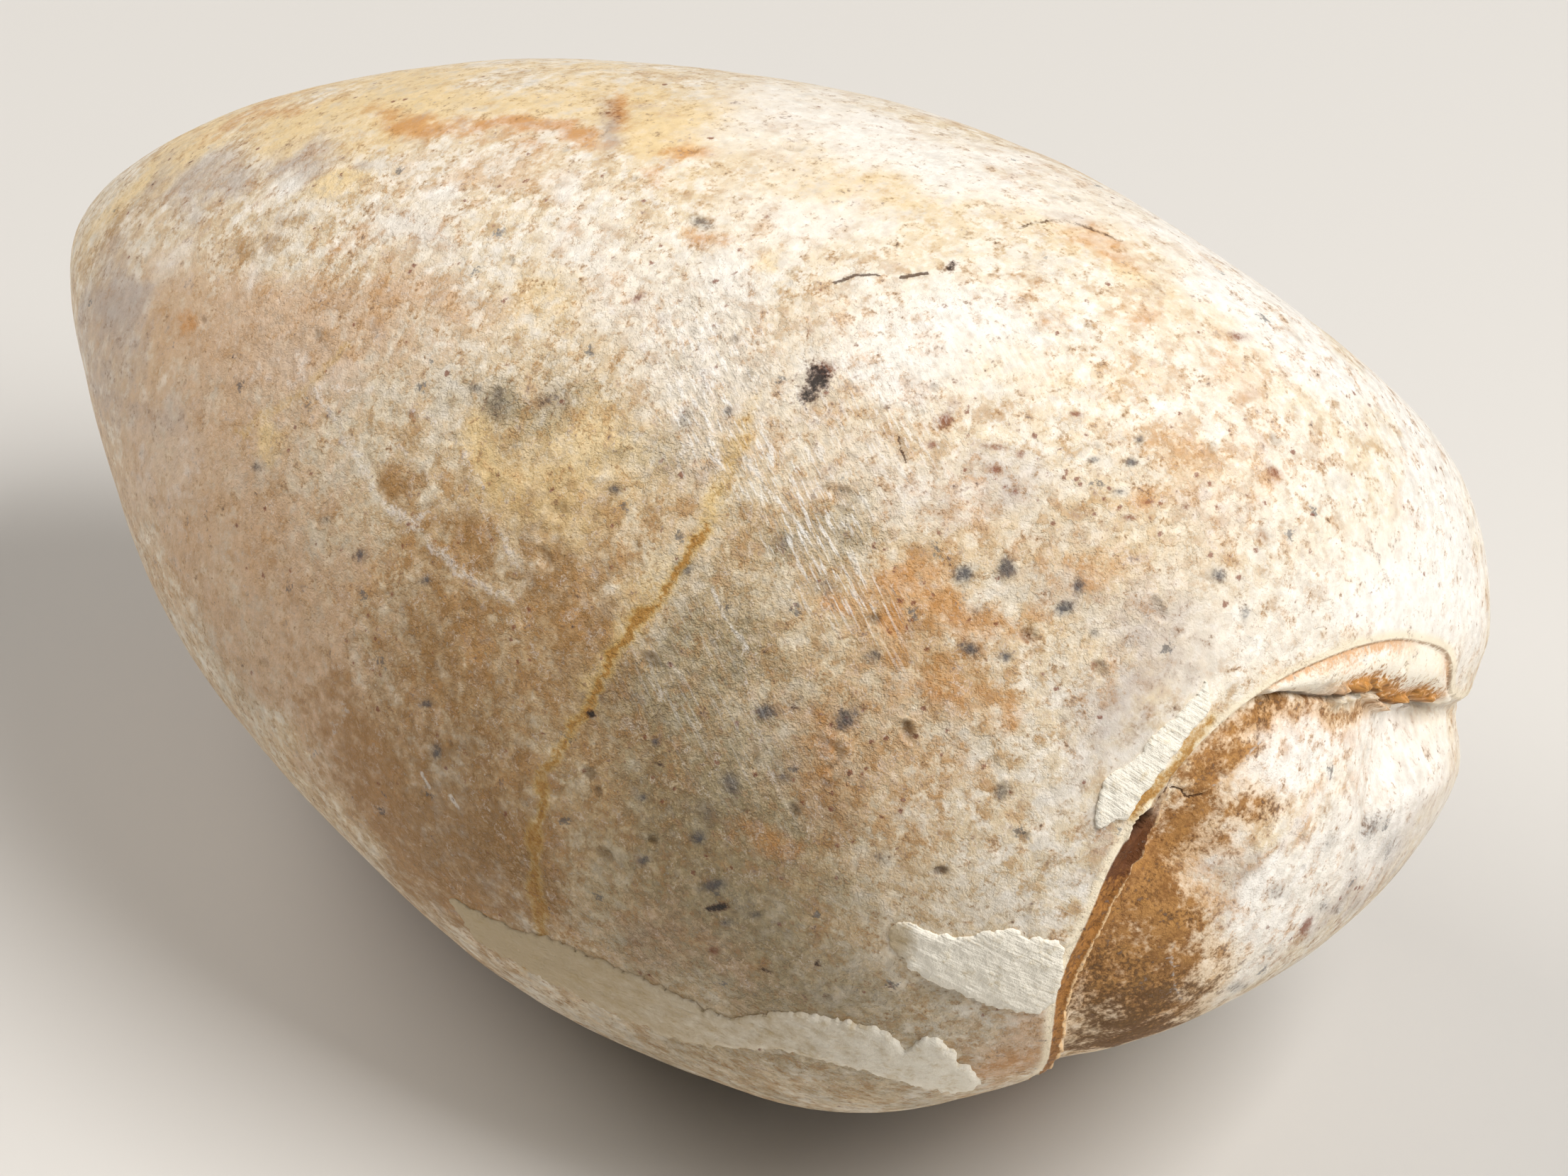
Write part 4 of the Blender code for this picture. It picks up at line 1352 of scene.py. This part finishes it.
    def _specks(self, bench: NodeBench, colour: Value, grain: Grain) -> Socket:
        """Strewn specks, dense where their stains say and rare elsewhere, and the known spots."""
        layers = (
            (self.slate, Tone.SLATE_SPECKS, 0.75, 0.20, 0.06, 0.32, 0.7),
            (self.rust, Tone.RUST_SPECKS, 2.0, 0.26, 0.07, 0.5, 0.8),
        )
        for paint, tone, per_mm, size, rare, common, most in layers:
            gap, own = bench.cells(grain.place, per_mm)
            limit = bench.both(bench.sum((bench.field(tone), common), rare), grain.worked)
            chosen = bench.math("LESS_THAN", own, limit)
            spot = bench.rise(size, size * 0.2, gap, (grain.grit, 0.9), (grain.fleck, 0.5))
            colour = bench.paint(colour, (paint, bench.both(chosen, spot), most))
        dust = bench.rise(0.14, 0.24, (grain.grit, 1.0), (grain.fleck, 0.5))
        chips = bench.rise(-0.12, -0.22, (grain.grit, 1.0), (grain.cloud, -0.4))
        colour = bench.paint(
            colour,
            (self.tinge, bench.both(dust, grain.worked), 0.4),
            (self.white, bench.both(chips, grain.worked), 0.16),
        )
        ragged = bench.sum((grain.grit, 1.3), (grain.fleck, 0.9))
        for kind, paint, most in ((Spot.SLATE, self.slate, 0.85), (Spot.RUST, self.rust, 0.8)):
            spot = bench.field(kind)
            halo = bench.rise(0.0, 0.7, spot, (ragged, 0.5))
            share = bench.rise(0.35, 0.95, spot, ragged)
            colour = bench.paint(colour, (paint, halo, 0.35), (paint, share, most))
        return colour

    def _brushing(self, bench: NodeBench, colour: Value, grain: Grain) -> Socket:
        """Pale and dark strokes that the grinding left."""
        zone = self._scratched(bench)
        pale = bench.both(bench.step(grain.stroke, 0.02, 0.16), zone)
        dull = bench.both(bench.step(grain.stroke, -0.02, -0.16), zone)
        return bench.paint(colour, (self.white, pale, 0.75), (self.grey, dull, 0.5))

    def _inner_whorl(self, bench: NodeBench, colour: Value, grain: Grain) -> Socket:
        """The brown crust that clings to the inner whorl beside the slit."""
        zone = bench.field("crust_zone")
        low = bench.field("lip_low")
        wash = bench.rise(0.0, 0.8, zone, (grain.cloud, 0.8), (grain.grit, 0.5))
        share = bench.rise(0.3, 1.0, zone, (grain.patch, 0.2), (grain.mottle, 1.9), (grain.grit, 0.6))
        warm = bench.rise(-0.22, 0.22, (grain.cloud, 1.0), (grain.grit, 1.0))
        deep = bench.rise(
            0.04, 0.34, (grain.patch, 0.22), (grain.fleck, 0.7), (grain.grit, 1.2), (low, 0.28)
        )
        crust = bench.paint(
            bench.mix(warm, self.crust_light, self.crust_mid),
            (self.crust_dark, deep, 0.7),
            (self.bark, bench.both(low, bench.step(grain.mottle, -0.16, 0.14)), 0.5),
        )
        return bench.paint(colour, (self.wash, wash, 0.5), (crust, share, 0.95))

    def _mouth(self, bench: NodeBench, colour: Value, grain: Grain) -> Socket:
        """The bands of the mouth: pale rim, rusty wall with painted shade in its cavity, white lens, and dark
        lines of painted shadow under the arch's edge and along the lens's foot.
        """
        side, inside, past = (bench.field(name) for name in ("lip_side", "lip_inside", "lip_past"))
        lower, arch = bench.field("lip_lower"), bench.field("lip_arch")
        crumbs, warm = bench.field("lip_crumbs"), bench.field("lip_warm")
        ragged = bench.sum((grain.grit, 0.8), (grain.mottle, 0.8))
        rim = bench.both(bench.step(side, -0.14, -0.04), bench.step(side, 0.45, 0.1), bench.field("lip_edge"))
        colour = bench.paint(colour, (self.rim, rim, 0.85))
        in_wall = bench.both(bench.step(side, -0.05, -0.14), bench.step(past, 0.02, -0.08), lower)
        wall = bench.paint(
            bench.mix(bench.step(ragged, -0.16, 0.2), self.wall, self.crust_mid),
            (self.crust_light, bench.rise(0.75, 1.15, inside, (ragged, 0.6)), 0.5),
            (self.crust_dark, bench.rise(0.06, 0.24, (grain.grit, 1.2), (grain.fleck, 0.8)), 0.55),
            # Painted shade: dark brown where the wall opens into a cavity.
            (self.cavity_shade_and_fringe, bench.rise(0.05, 0.6, bench.field("lip_cavity_shade"), (ragged, 1.0)), 0.85),
        )
        colour = bench.mix(in_wall, colour, wall)
        ridge = bench.both(bench.thread(0.12, 0.03, past, (ragged, 0.25), 0.08), lower)
        colour = bench.paint(colour, (self.wash, ridge, 0.8))
        in_lens = bench.both(bench.step(side, -0.02, -0.1), bench.step(past, 0.0, -0.1), arch)
        stained = bench.both(bench.rise(0.42, 0.0, inside, (ragged, 0.9)), warm)
        hazy = bench.rise(0.0, 0.2, (grain.cloud, 1.0), (grain.grit, 0.6))
        lens = bench.paint(self.lens, (self.orange, stained, 0.75), (self.yellow, hazy, 0.25))
        crumbly = bench.both(bench.rise(-1.15, -0.6, past, (ragged, 1.8)), crumbs)
        crumb = bench.paint(
            bench.mix(bench.step(ragged, -0.14, 0.18), self.orange, self.crust_light),
            (self.crust_mid, bench.rise(0.04, 0.18, (grain.grit, 1.0), (grain.pocks, 0.8)), 0.7),
            (self.wash, bench.rise(-0.06, -0.22, (grain.grit, 1.0), (grain.pocks, 0.8)), 0.7),
        )
        colour = bench.mix(in_lens, colour, bench.mix(crumbly, lens, crumb))
        drawn = bench.math("MAXIMUM", crumbs, warm)
        # Painted shadow: a thin brown line just under the arch's edge.
        hair_shadow = bench.thread(0.08, 0.02, side, (ragged, 0.12), 0.05)
        hair_shadow = bench.both(hair_shadow, bench.step(ragged, -0.3, 0.1), arch, drawn)
        # Painted shadow: a dark line along the crease at the lens's foot.
        foot = bench.both(bench.thread(0.11, 0.03, past, (ragged, 0.15), 0.08), arch)
        return bench.paint(colour, (self.crust_mid, hair_shadow, 0.7), (self.crust_dark, foot, 0.6))

    def _marks(self, bench: NodeBench, colour: Value, grain: Grain) -> Socket:
        """Seams, pale lines, dark cracks, black spots and painted shade on the pit floors."""
        ragged = bench.sum((grain.grit, 1.0), (grain.fleck, 0.9))
        seam, pale, dark = (bench.field(mark) for mark in (Mark.OCHRE_SEAM, Mark.PALE, Mark.DARK))
        black = bench.field(Spot.BLACK)
        colour = bench.paint(
            colour,
            (self.gold, bench.rise(0.05, 0.8, seam, (ragged, 0.8)), 0.6),
            (self.seam, bench.rise(0.45, 0.95, seam, (ragged, 1.0)), 0.9),
            (self.white, bench.rise(0.25, 0.95, pale, (ragged, 1.5), (grain.mottle, 0.8)), 0.6),
            (self.crust_dark, bench.rise(0.3, 0.7, dark, (ragged, 1.0)), 0.85),
            (self.cavity_shade_and_fringe, bench.rise(0.1, 0.6, black, (ragged, 1.4)), 0.7),
            (self.black, bench.rise(0.35, 0.8, black, (ragged, 1.5)), 0.9),
        )
        # Painted shade on the pit floors.
        return bench.mix(bench.field("pit_shade"), colour, self.crust_dark)

    def _scratched(self, bench: NodeBench) -> Socket:
        """Where grinding strokes show."""
        return bench.math("MAXIMUM", bench.field(Tone.SCRATCHES), bench.field(Tone.LOW_SCRATCHES))

    def _relief(self, bench: NodeBench, grain: Grain) -> Socket:
        """The fine relief: pocks, grain and strokes, fading where the polish is best."""
        plateau = bench.step(grain.pocks, -0.03, 0.04)
        fine = bench.noise(grain.place, 12.0, 2.0, 0.6)
        layer = bench.rise(-0.012, 0.014, grain.mottle, (grain.grit, 0.06))
        upper = bench.rise(0.05, 0.075, grain.cloud, (grain.grit, 0.06))
        rough = bench.sum((grain.pocks, 0.7), (plateau, 0.12), (fine, 0.5), (layer, 0.2), (upper, 0.2))
        aged = bench.sum((bench.field(Tone.DUN_AND_SHADE), 1.5), (bench.field(Tone.AGED), 0.4), 0.5)
        strokes = bench.both(grain.stroke, bench.sum((self._scratched(bench), 0.5), 0.1))
        return bench.bump(bench.sum((rough, bench.both(grain.worked, aged)), strokes), 0.09)


@dataclass(frozen=True)
class FlakeFinish:
    """Chalky white shell scale, matt and finely ribbed."""

    chalk: Colour = tint("F7F0E0")
    worn: Colour = tint("E2D3B4")
    brown: Colour = tint("B59B6C")

    def material(self) -> bpy.types.Material:
        """The material, for a mesh that stores its place."""
        bench = NodeBench("chalky_scale")
        place = bench.place()
        patch = bench.noise(place, 1.4, 4.0, 0.6)
        fine = bench.noise(place, 5.0, 4.0, 0.65)
        rib = bench.noise(bench.place("brush"), 5.0, 2.0, 0.6)
        share = bench.rise(0.04, 0.34, (patch, 1.0), (fine, 0.8), (rib, 0.4))
        browned = bench.rise(0.1, 0.95, bench.field("wear"), (patch, 0.9), (fine, 0.4))
        return bench.finished({
            "Base Color": bench.paint(self.chalk, (self.worn, share, 0.8), (self.brown, browned, 0.75)),
            "Roughness": bench.sum((fine, 0.4), 0.72),
            "Specular IOR Level": 0.3,
            "Normal": bench.bump(bench.sum((rib, 0.9), (fine, 0.9), (patch, 0.5)), 0.11),
        })


@dataclass(frozen=True)
class FloorFinish:
    """Plain pale paper with the faintest tooth."""

    paper: Colour = tint("D2CFCA")

    def material(self) -> bpy.types.Material:
        """The material."""
        values = {"Base Color": self.paper, "Roughness": 0.9, "Specular IOR Level": 0.2}
        return NodeBench("pale_floor").finished(values)


# ---------------------------------------------------------------- sub-assemblies


def add_field(mesh: bpy.types.Mesh, name: str, values: Array) -> None:
    """Store one number, or one place, at each vertex."""
    kind = "FLOAT_VECTOR" if values.ndim == 2 else "FLOAT"
    store = mesh.attributes.new(name, kind, "POINT")
    key = "vector" if values.ndim == 2 else "value"
    store.data.foreach_set(key, values.astype(np.float32).ravel())


def settle(name: str, mesh: bpy.types.Mesh, material: bpy.types.Material) -> bpy.types.Object:
    """Show a finished mesh as a piece of the shell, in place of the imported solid."""
    mesh.materials.append(material)
    mesh.shade_smooth()
    piece = bpy.data.objects.new(name, mesh)
    bpy.context.scene.collection.objects.link(piece)
    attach(piece, BODY)
    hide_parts(NODE)
    LOG.info("%s: %d triangles", name, sum(len(face.vertices) - 2 for face in mesh.polygons))
    return piece


@dataclass
class FineSkin:
    """The whole outer surface as one closed mesh, fine where the piece has detail."""

    form: EggForm
    lying: Lying
    surface: SurfaceMap
    finish: ShellFinish = field(default_factory=ShellFinish)
    even_rounds: int = 6
    refine_rounds: int = 4
    edge_slack: float = 1.35
    smoothing: float = 0.3
    score_band: float = 0.6
    snap_share: float = 0.2
    undulation: float = 0.09
    undulation_size: float = 9.0
    ripple: float = 0.022
    ripple_size: float = 1.3
    crust_strength: float = 1.18
    hidden_crust: float = 0.55
    band_limit: float = 6.0

    def build(self) -> bpy.types.Object:
        """Make the mesh, its fields and its material."""
        form = self._refined()
        self._score(form, 0.0)
        self._score(form, 1.0)
        mesh = bpy.data.meshes.new("fossil_skin")
        form.to_mesh(mesh)
        form.free()
        places = np.empty(len(mesh.vertices) * 3, np.float32)
        mesh.vertices.foreach_get("co", places)
        places = self.form.onto(places.reshape(-1, 3).astype(float))
        depth = self._dress(mesh, places)
        ways = places / np.linalg.norm(places, axis=1)[:, None]
        laid = self.lying.place(places - ways * depth[:, None])
        laid[:, 2] = np.maximum(laid[:, 2], 0.0)
        mesh.vertices.foreach_set("co", (laid * MM).astype(np.float32).ravel())
        mesh.update()
        return settle("fossil_skin", mesh, self.finish.material())

    def _places(self, form: bmesh.types.BMesh) -> Array:
        """The mesh's vertices as rows."""
        return np.array([vert.co[:] for vert in form.verts])

    def _project(self, form: bmesh.types.BMesh) -> None:
        """Bring every vertex back onto the ground egg."""
        for vert, place in zip(form.verts, self.form.onto(self._places(form))):
            vert.co = place

    def _refined(self) -> bmesh.types.BMesh:
        """An even mesh, with its edges split until each is as short as its place asks."""
        form = bmesh.new()
        bmesh.ops.create_icosphere(form, subdivisions=self.even_rounds, radius=1.0)
        length = (self.form.spire_reach + self.form.front_reach) / 2.0
        stretch = Vector((length, self.form.side_reach, self.form.side_reach))
        bmesh.ops.scale(form, vec=stretch, verts=form.verts)
        self._project(form)
        for _ in range(self.refine_rounds):
            edges = list(form.edges)
            ends = np.array([(*edge.verts[0].co, *edge.verts[1].co) for edge in edges])
            lengths = np.linalg.norm(ends[:, :3] - ends[:, 3:], axis=1)
            limits = self.surface.edge_size((ends[:, :3] + ends[:, 3:]) / 2.0)
            limits = limits * self.edge_slack
            chosen = [edge for edge, long, limit in zip(edges, lengths, limits) if long > limit]
            if not chosen:
                break
            bmesh.ops.subdivide_edges(form, edges=chosen, cuts=1, use_grid_fill=True)
            bmesh.ops.triangulate(form, faces=[face for face in form.faces if len(face.verts) > 3])
            bmesh.ops.smooth_vert(
                form, verts=form.verts, factor=self.smoothing,
                use_axis_x=True, use_axis_y=True, use_axis_z=True,
            )
            self._project(form)
        return form

    def _score(self, form: bmesh.types.BMesh, walls_in: float) -> None:
        """Lay a line of edges along the lip, a number of wall widths inside its edge."""
        form.verts.index_update()
        reading = self.surface.lip.read(self._places(form))
        side = reading.side + walls_in * reading.width
        corners: list[bmesh.types.BMVert] = []
        splits = []
        for edge in form.edges:
            first, second = edge.verts
            a, b = side[first.index], side[second.index]
            if a * b >= 0.0 or max(abs(a), abs(b)) > self.score_band:
                continue
            share = a / (a - b)
            if self.snap_share < share < 1.0 - self.snap_share:
                splits.append((edge, first, share))
            else:
                corners.append(first if share <= self.snap_share else second)
        for edge, first, share in splits:
            corners.append(bmesh.utils.edge_split(edge, first, share)[1])
        bmesh.ops.connect_verts(form, verts=list(dict.fromkeys(corners)), check_degenerate=True)
        bmesh.ops.triangulate(form, faces=[face for face in form.faces if len(face.verts) > 3])

    def _dress(self, mesh: bpy.types.Mesh, places: Array) -> Array:
        """Store every field on the mesh and give back the depth of its relief in mm."""
        surface = self.surface
        flat = surface.sight.flat(places)
        facing = surface.sight.facing(places, self.form.outward(places))
        reading = surface.lip.read(places)
        pit_depth, pit_shade = surface.pits(places)
        line_depth, line_strength = surface.lines(places, flat, facing)
        tones = surface.tones(places, flat)
        shown = smooth_step(-0.05, 0.1, facing)
        inner = (reading.side < 0.0).astype(float)
        near_slit = 1.0 - smooth_step(0.0, 2.2, reading.past_foot())
        fade = np.clip(reading.depth / 0.3, 0.0, 1.0)
        crust = tones.pop(Tone.CRUST) * shown + self.hidden_crust * near_slit * fade * (1.0 - shown)
        most = self.band_limit
        fields = {
            "place": places,
            "brush": surface.brush_place(places, tones[Tone.LOW_SCRATCHES] - tones[Tone.SCRATCHES] + 0.4),
            "patch": clouds(places, 1.8, 4, 7.0) + 0.6 * clouds(places, 7.0, 2, 8.0),
            "crust_zone": np.clip(inner * crust, 0.0, 1.0) * self.crust_strength,
            "lip_side": np.clip(reading.side, -most, most),
            "lip_inside": np.clip(reading.inside(), -most, most),
            "lip_past": np.clip(reading.past_foot(), -most, most),
            "lip_lower": reading.along(LOWER_FRONT),
            "lip_arch": reading.along(ARCH),
            "lip_edge": fade,
            "lip_crumbs": reading.along(CRUMBLING_LEDGE),
            "lip_warm": smooth_step(5.6, 7.0, reading.station) + 0.9 * bell(reading.station - 4.2, 0.8),
            # Where the painted shade of the wall's cavity lies.
            "lip_cavity_shade": bell(reading.station - 11.05, 0.55),
            "lip_low": smooth_step(11.6, 13.4, reading.station),
            "pit_shade": pit_shade,
        }
        for group in (tones, line_strength, surface.spots(flat, facing)):
            fields |= {kind.value: values for kind, values in group.items()}
        for name, values in fields.items():
            add_field(mesh, name, values)
        waves = clouds(places, self.undulation_size, 3, 5.0) * self.undulation
        ripples = clouds(places, self.ripple_size, 4, 6.0) * self.ripple * (1.0 - 0.8 * tones[Tone.SMOOTH])
        return surface.slit_relief(places, reading) + pit_depth + line_depth + waves + ripples


@dataclass
class ChalkyScale:
    """A thin scale of shell that still stands on the surface, as a closed slab.

    outline goes round it, right and up on the shown side in mm; ribs run at a slope in
    degrees, raggedness is how far the torn edge wanders in mm, and towards its worn end it is
    thinner and browner over a reach in mm.
    """

    name: str
    outline: tuple[tuple[float, float], ...]
    thickness: float
    rib_slope: float
    raggedness: float
    grid: float
    seed: int
    worn_end: tuple[float, float] = (0.0, 0.0)
    worn_reach: float = 0.01
    root_depth: float = 0.3

    def build(self, form: EggForm, sight: Sight, lying: Lying,
              material: bpy.types.Material) -> bpy.types.Object:
        """Make the slab and its fields.

        Args:
            form: the ground egg that the scale stands on.
            sight: the side that the outline is placed from.
            lying: how the piece lies.
            material: the scale's finish.

        Returns:
            The finished piece.
        """
        ring = self._ring()
        flat, faces, rim_count = self._sheet(ring)
        places = sight.cast(form, flat)
        normals = form.outward(places)
        gap = distance_to_path(flat, np.vstack((ring, ring[:1])))
        gap[:rim_count] = 0.0
        crown = smooth_step(-0.02, 0.16, gap)
        brush = self._brush(flat)
        lumps = clouds(places, 0.6, 4, float(self.seed))
        from_worn_end = np.linalg.norm(flat - np.array(self.worn_end), axis=1)
        wear = 1.0 - smooth_step(0.0, self.worn_reach, from_worn_end)
        height = self.thickness * (0.75 + 0.25 * crown) * (1.0 - 0.55 * wear) + 0.08 * lumps * crown
        top = places + normals * height[:, None]
        bottom = places - normals * self.root_depth
        mesh = self._slab(top, bottom, faces, rim_count)
        add_field(mesh, "place", np.vstack((places, places[:rim_count], places)))
        add_field(mesh, "brush", np.vstack((brush, brush[:rim_count], brush)))
        add_field(mesh, "wear", np.concatenate((wear, wear[:rim_count], wear)))
        laid = lying.place(np.vstack((top, top[:rim_count], bottom))) * MM
        mesh.vertices.foreach_set("co", laid.astype(np.float32).ravel())
        mesh.update()
        return settle(self.name, mesh, material)

    def _ring(self) -> Array:
        """The torn outline as closely spaced points."""
        curve = catmull_rom(np.array(self.outline), 10, closed=True)
        closed = np.vstack((curve, curve[:1]))
        lengths = np.concatenate(((0.0,), np.cumsum(np.linalg.norm(np.diff(closed, axis=0), axis=1))))
        marks = np.arange(0.0, lengths[-1] - self.grid * 0.25, self.grid * 0.5)
        ring = np.column_stack([np.interp(marks, lengths, closed[:, i]) for i in (0, 1)])
        deep = np.column_stack((ring, np.full(len(ring), self.seed * 3.1)))
        return ring + two_clouds(deep, 0.36, 1.0) * self.raggedness

    def _sheet(self, ring: Array) -> tuple[Array, list[list[int]], int]:
        """Points and triangles that fill the outline; the outline's own points come first."""
        low, high = ring.min(axis=0), ring.max(axis=0)
        rows = []
        for i, up in enumerate(np.arange(low[1], high[1], self.grid * 0.87)):
            start = low[0] + (self.grid / 2.0 if i % 2 else 0.0)
            rows += [(right, up) for right in np.arange(start, high[0], self.grid)]
        inner = np.array(rows)
        inner = inner[self._within(inner, ring)]
        gap = distance_to_path(inner, np.vstack((ring, ring[:1])))
        inner = inner[gap > self.grid * 0.45]
        points = [Vector(p) for p in np.vstack((ring, inner))]
        count = len(ring)
        edges = [(i, (i + 1) % count) for i in range(count)]
        verts, _, faces, _, _, _ = geometry.delaunay_2d_cdt(points, edges, [], 1, 1e-6)
        return np.array([v[:] for v in verts]), faces, count

    def _within(self, flat: Array, ring: Array) -> Array:
        """True for each place that lies inside a closed outline."""
        inside = np.zeros(len(flat), bool)
        for (x0, y0), (x1, y1) in zip(ring, np.roll(ring, -1, axis=0)):
            if y0 == y1:
                continue
            level = (flat[:, 1] > y0) != (flat[:, 1] > y1)
            inside ^= level & (flat[:, 0] < (x1 - x0) * (flat[:, 1] - y0) / (y1 - y0) + x0)
        return inside

    def _brush(self, flat: Array) -> Array:
        """Coordinates that stretch noise along the scale's ribs."""
        along, across = along_and_across(flat, self.rib_slope)
        return np.column_stack((along * 0.07, across, np.zeros(len(flat))))

    def _slab(self, top: Array, bottom: Array, faces: list[list[int]], rim_count: int) -> bpy.types.Mesh:
        """Close the top sheet with a torn wall and an under sheet."""
        count = len(top)
        under = count + rim_count
        polygons = [tuple(face) for face in faces]
        polygons += [tuple(under + i for i in reversed(face)) for face in faces]
        rim_edges = {}
        for face in faces:
            for first, second in zip(face, face[1:] + face[:1]):
                if max(first, second) < rim_count:
                    rim_edges[frozenset((first, second))] = (first, second)
        for i in range(rim_count):
            first, second = rim_edges[frozenset((i, (i + 1) % rim_count))]
            polygons.append((second, first, under + first, under + second))
        mesh = bpy.data.meshes.new(self.name)
        points = np.vstack((top, top[:rim_count], bottom))
        mesh.from_pydata([tuple(p) for p in points], [], polygons)
        return mesh


@dataclass(frozen=True)
class Softbox:
    """A square lamp that faces the piece: its place in metres, its side in metres, its power
    in watts and its colour."""

    name: str
    place: tuple[float, float, float]
    side: float
    power: float
    colour: tuple[float, float, float]

    def hang(self, target: Vector) -> None:
        """Hang the lamp so that it faces a target."""
        lamp = bpy.data.lights.new(self.name, "AREA")
        lamp.shape = "SQUARE"
        lamp.size = self.side
        lamp.energy = self.power
        lamp.color = self.colour
        holder = bpy.data.objects.new(self.name, lamp)
        holder.location = self.place
        holder.rotation_euler = (target - Vector(self.place)).to_track_quat("-Z", "Y").to_euler()
        bpy.context.scene.collection.objects.link(holder)


@dataclass
class Studio:
    """A plain pale floor, soft light and the camera."""

    sight: Sight
    floor_size: float = 6.0
    target_height: float = 0.019
    air_strength: float = 0.14
    lamps: tuple[Softbox, ...] = (
        Softbox("side_light", (0.38, 0.14, 0.13), 0.24, 0.24, (1.0, 0.99, 0.98)),
        Softbox("key_light", (0.34, 0.03, 0.50), 0.30, 3.5, (1.0, 0.99, 0.98)),
        Softbox("fill_light", (-0.40, -0.08, 0.46), 0.40, 2.1, (1.0, 0.96, 0.91)),
    )

    def build(self) -> None:
        """Lay the floor, hang the lamps and set the camera."""
        self._floor()
        self._air()
        for lamp in self.lamps:
            lamp.hang(Vector((0.0, 0.0, self.target_height)))
        self._camera()
        bpy.context.scene.view_settings.view_transform = "Standard"

    def _floor(self) -> None:
        """A wide flat floor at z = 0."""
        half = self.floor_size / 2.0
        corners = [(-half, -half, 0.0), (half, -half, 0.0), (half, half, 0.0), (-half, half, 0.0)]
        mesh = bpy.data.meshes.new("pale_floor")
        mesh.from_pydata(corners, [], [(0, 1, 2, 3)])
        mesh.materials.append(FloorFinish().material())
        floor = bpy.data.objects.new("pale_floor", mesh)
        bpy.context.scene.collection.objects.link(floor)

    def _air(self) -> None:
        """Even pale light from all round."""
        world = bpy.data.worlds.new("studio_air")
        world.use_nodes = True
        background = world.node_tree.nodes["Background"]
        background.inputs["Color"].default_value = tint("F1F1F3")
        background.inputs["Strength"].default_value = self.air_strength
        bpy.context.scene.world = world

    def _camera(self) -> None:
        """The camera, on the line of sight."""
        camera = bpy.data.cameras.new("camera")
        camera.lens = self.sight.lens
        camera.sensor_width = self.sight.film
        camera.clip_start = 0.01
        axes = self.sight.lying_axes()
        eye = np.array((*self.sight.aim, self.sight.distance)) @ axes + np.array(self.sight.lying.centre)
        holder = bpy.data.objects.new("camera", camera)
        turn = Matrix([list(row) for row in axes.T]).to_4x4()
        holder.matrix_world = Matrix.Translation(Vector(eye * MM)) @ turn
        bpy.context.scene.collection.objects.link(holder)
        bpy.context.scene.camera = holder


SCALES: tuple[ChalkyScale, ...] = (
    ChalkyScale(
        "chalky_scale_by_lip",
        (
            (16.66, -3.67), (16.51, -4.06), (16.1, -4.51), (15.79, -4.79), (15.49, -5.13), (15.12, -5.48),
            (14.87, -5.67), (14.59, -5.85), (14.41, -6.13), (14.12, -6.52), (13.76, -6.88), (13.41, -7.13),
            (12.99, -7.36), (12.71, -7.57), (12.59, -8.01), (12.45, -8.45), (12.36, -8.98), (12.32, -9.45),
            (12.5, -9.52), (12.83, -9.34), (13.18, -9.19), (13.61, -9.08), (13.78, -8.8), (14.24, -8.11),
            (14.91, -7.24), (15.57, -6.37), (16.14, -5.64), (16.59, -5.04), (16.86, -4.76), (16.82, -4.23),
        ),
        thickness=0.19, rib_slope=-32.0, raggedness=0.1, grid=0.13, seed=2,
    ),
    ChalkyScale(
        "chalky_scale_lower",
        (
            (4.4, -13.3), (5.0, -13.2), (5.5, -13.5), (6.9, -13.8), (8.1, -13.6), (9.2, -13.5), (9.5, -13.8),
            (10.5, -13.9), (11.0, -14.1), (11.1, -14.7), (11.0, -15.6), (10.7, -16.3), (10.2, -16.7),
            (9.1, -16.7), (8.2, -16.5), (6.7, -15.9), (5.1, -15.1), (4.9, -14.7), (4.3, -14.3), (4.2, -13.8),
        ),
        thickness=0.15, rib_slope=-24.0, raggedness=0.11, grid=0.13,
        worn_end=(4.2, -14.0), worn_reach=1.7, seed=3,
    ),
    ChalkyScale(
        "chalky_scale_belly",
        (
            (-13.2, -12.3), (-12.3, -12.7), (-10.7, -13.5), (-9.3, -13.9), (-7.3, -14.8), (-4.7, -15.9),
            (-2.3, -17.0), (0.0, -16.8), (2.6, -17.2), (4.1, -17.7), (4.9, -18.3), (5.4, -17.9), (6.1, -17.9),
            (6.7, -18.3), (6.9, -18.9), (7.4, -19.0), (7.7, -19.6), (6.6, -19.9), (4.0, -19.3), (0.0, -18.3),
            (-3.7, -18.0), (-5.8, -17.2), (-8.0, -16.2), (-10.3, -15.0), (-12.1, -13.9),
        ),
        thickness=0.17, rib_slope=-22.0, raggedness=0.13, grid=0.17,
        worn_end=(-13.2, -12.3), worn_reach=30.0, seed=4,
    ),
)


def main() -> None:
    """Build the studio, the skin and the scales in order."""
    logging.basicConfig(level=logging.INFO, format="%(name)s: %(message)s")
    form = EggForm()
    lying = Lying()
    sight = Sight(lying)
    Studio(sight).build()
    surface = SurfaceMap(form, sight)
    FineSkin(form, lying, surface).build()
    chalk = FlakeFinish().material()
    for scale in SCALES:
        scale.build(form, sight, lying, chalk)


if __name__ == "__main__":
    main()
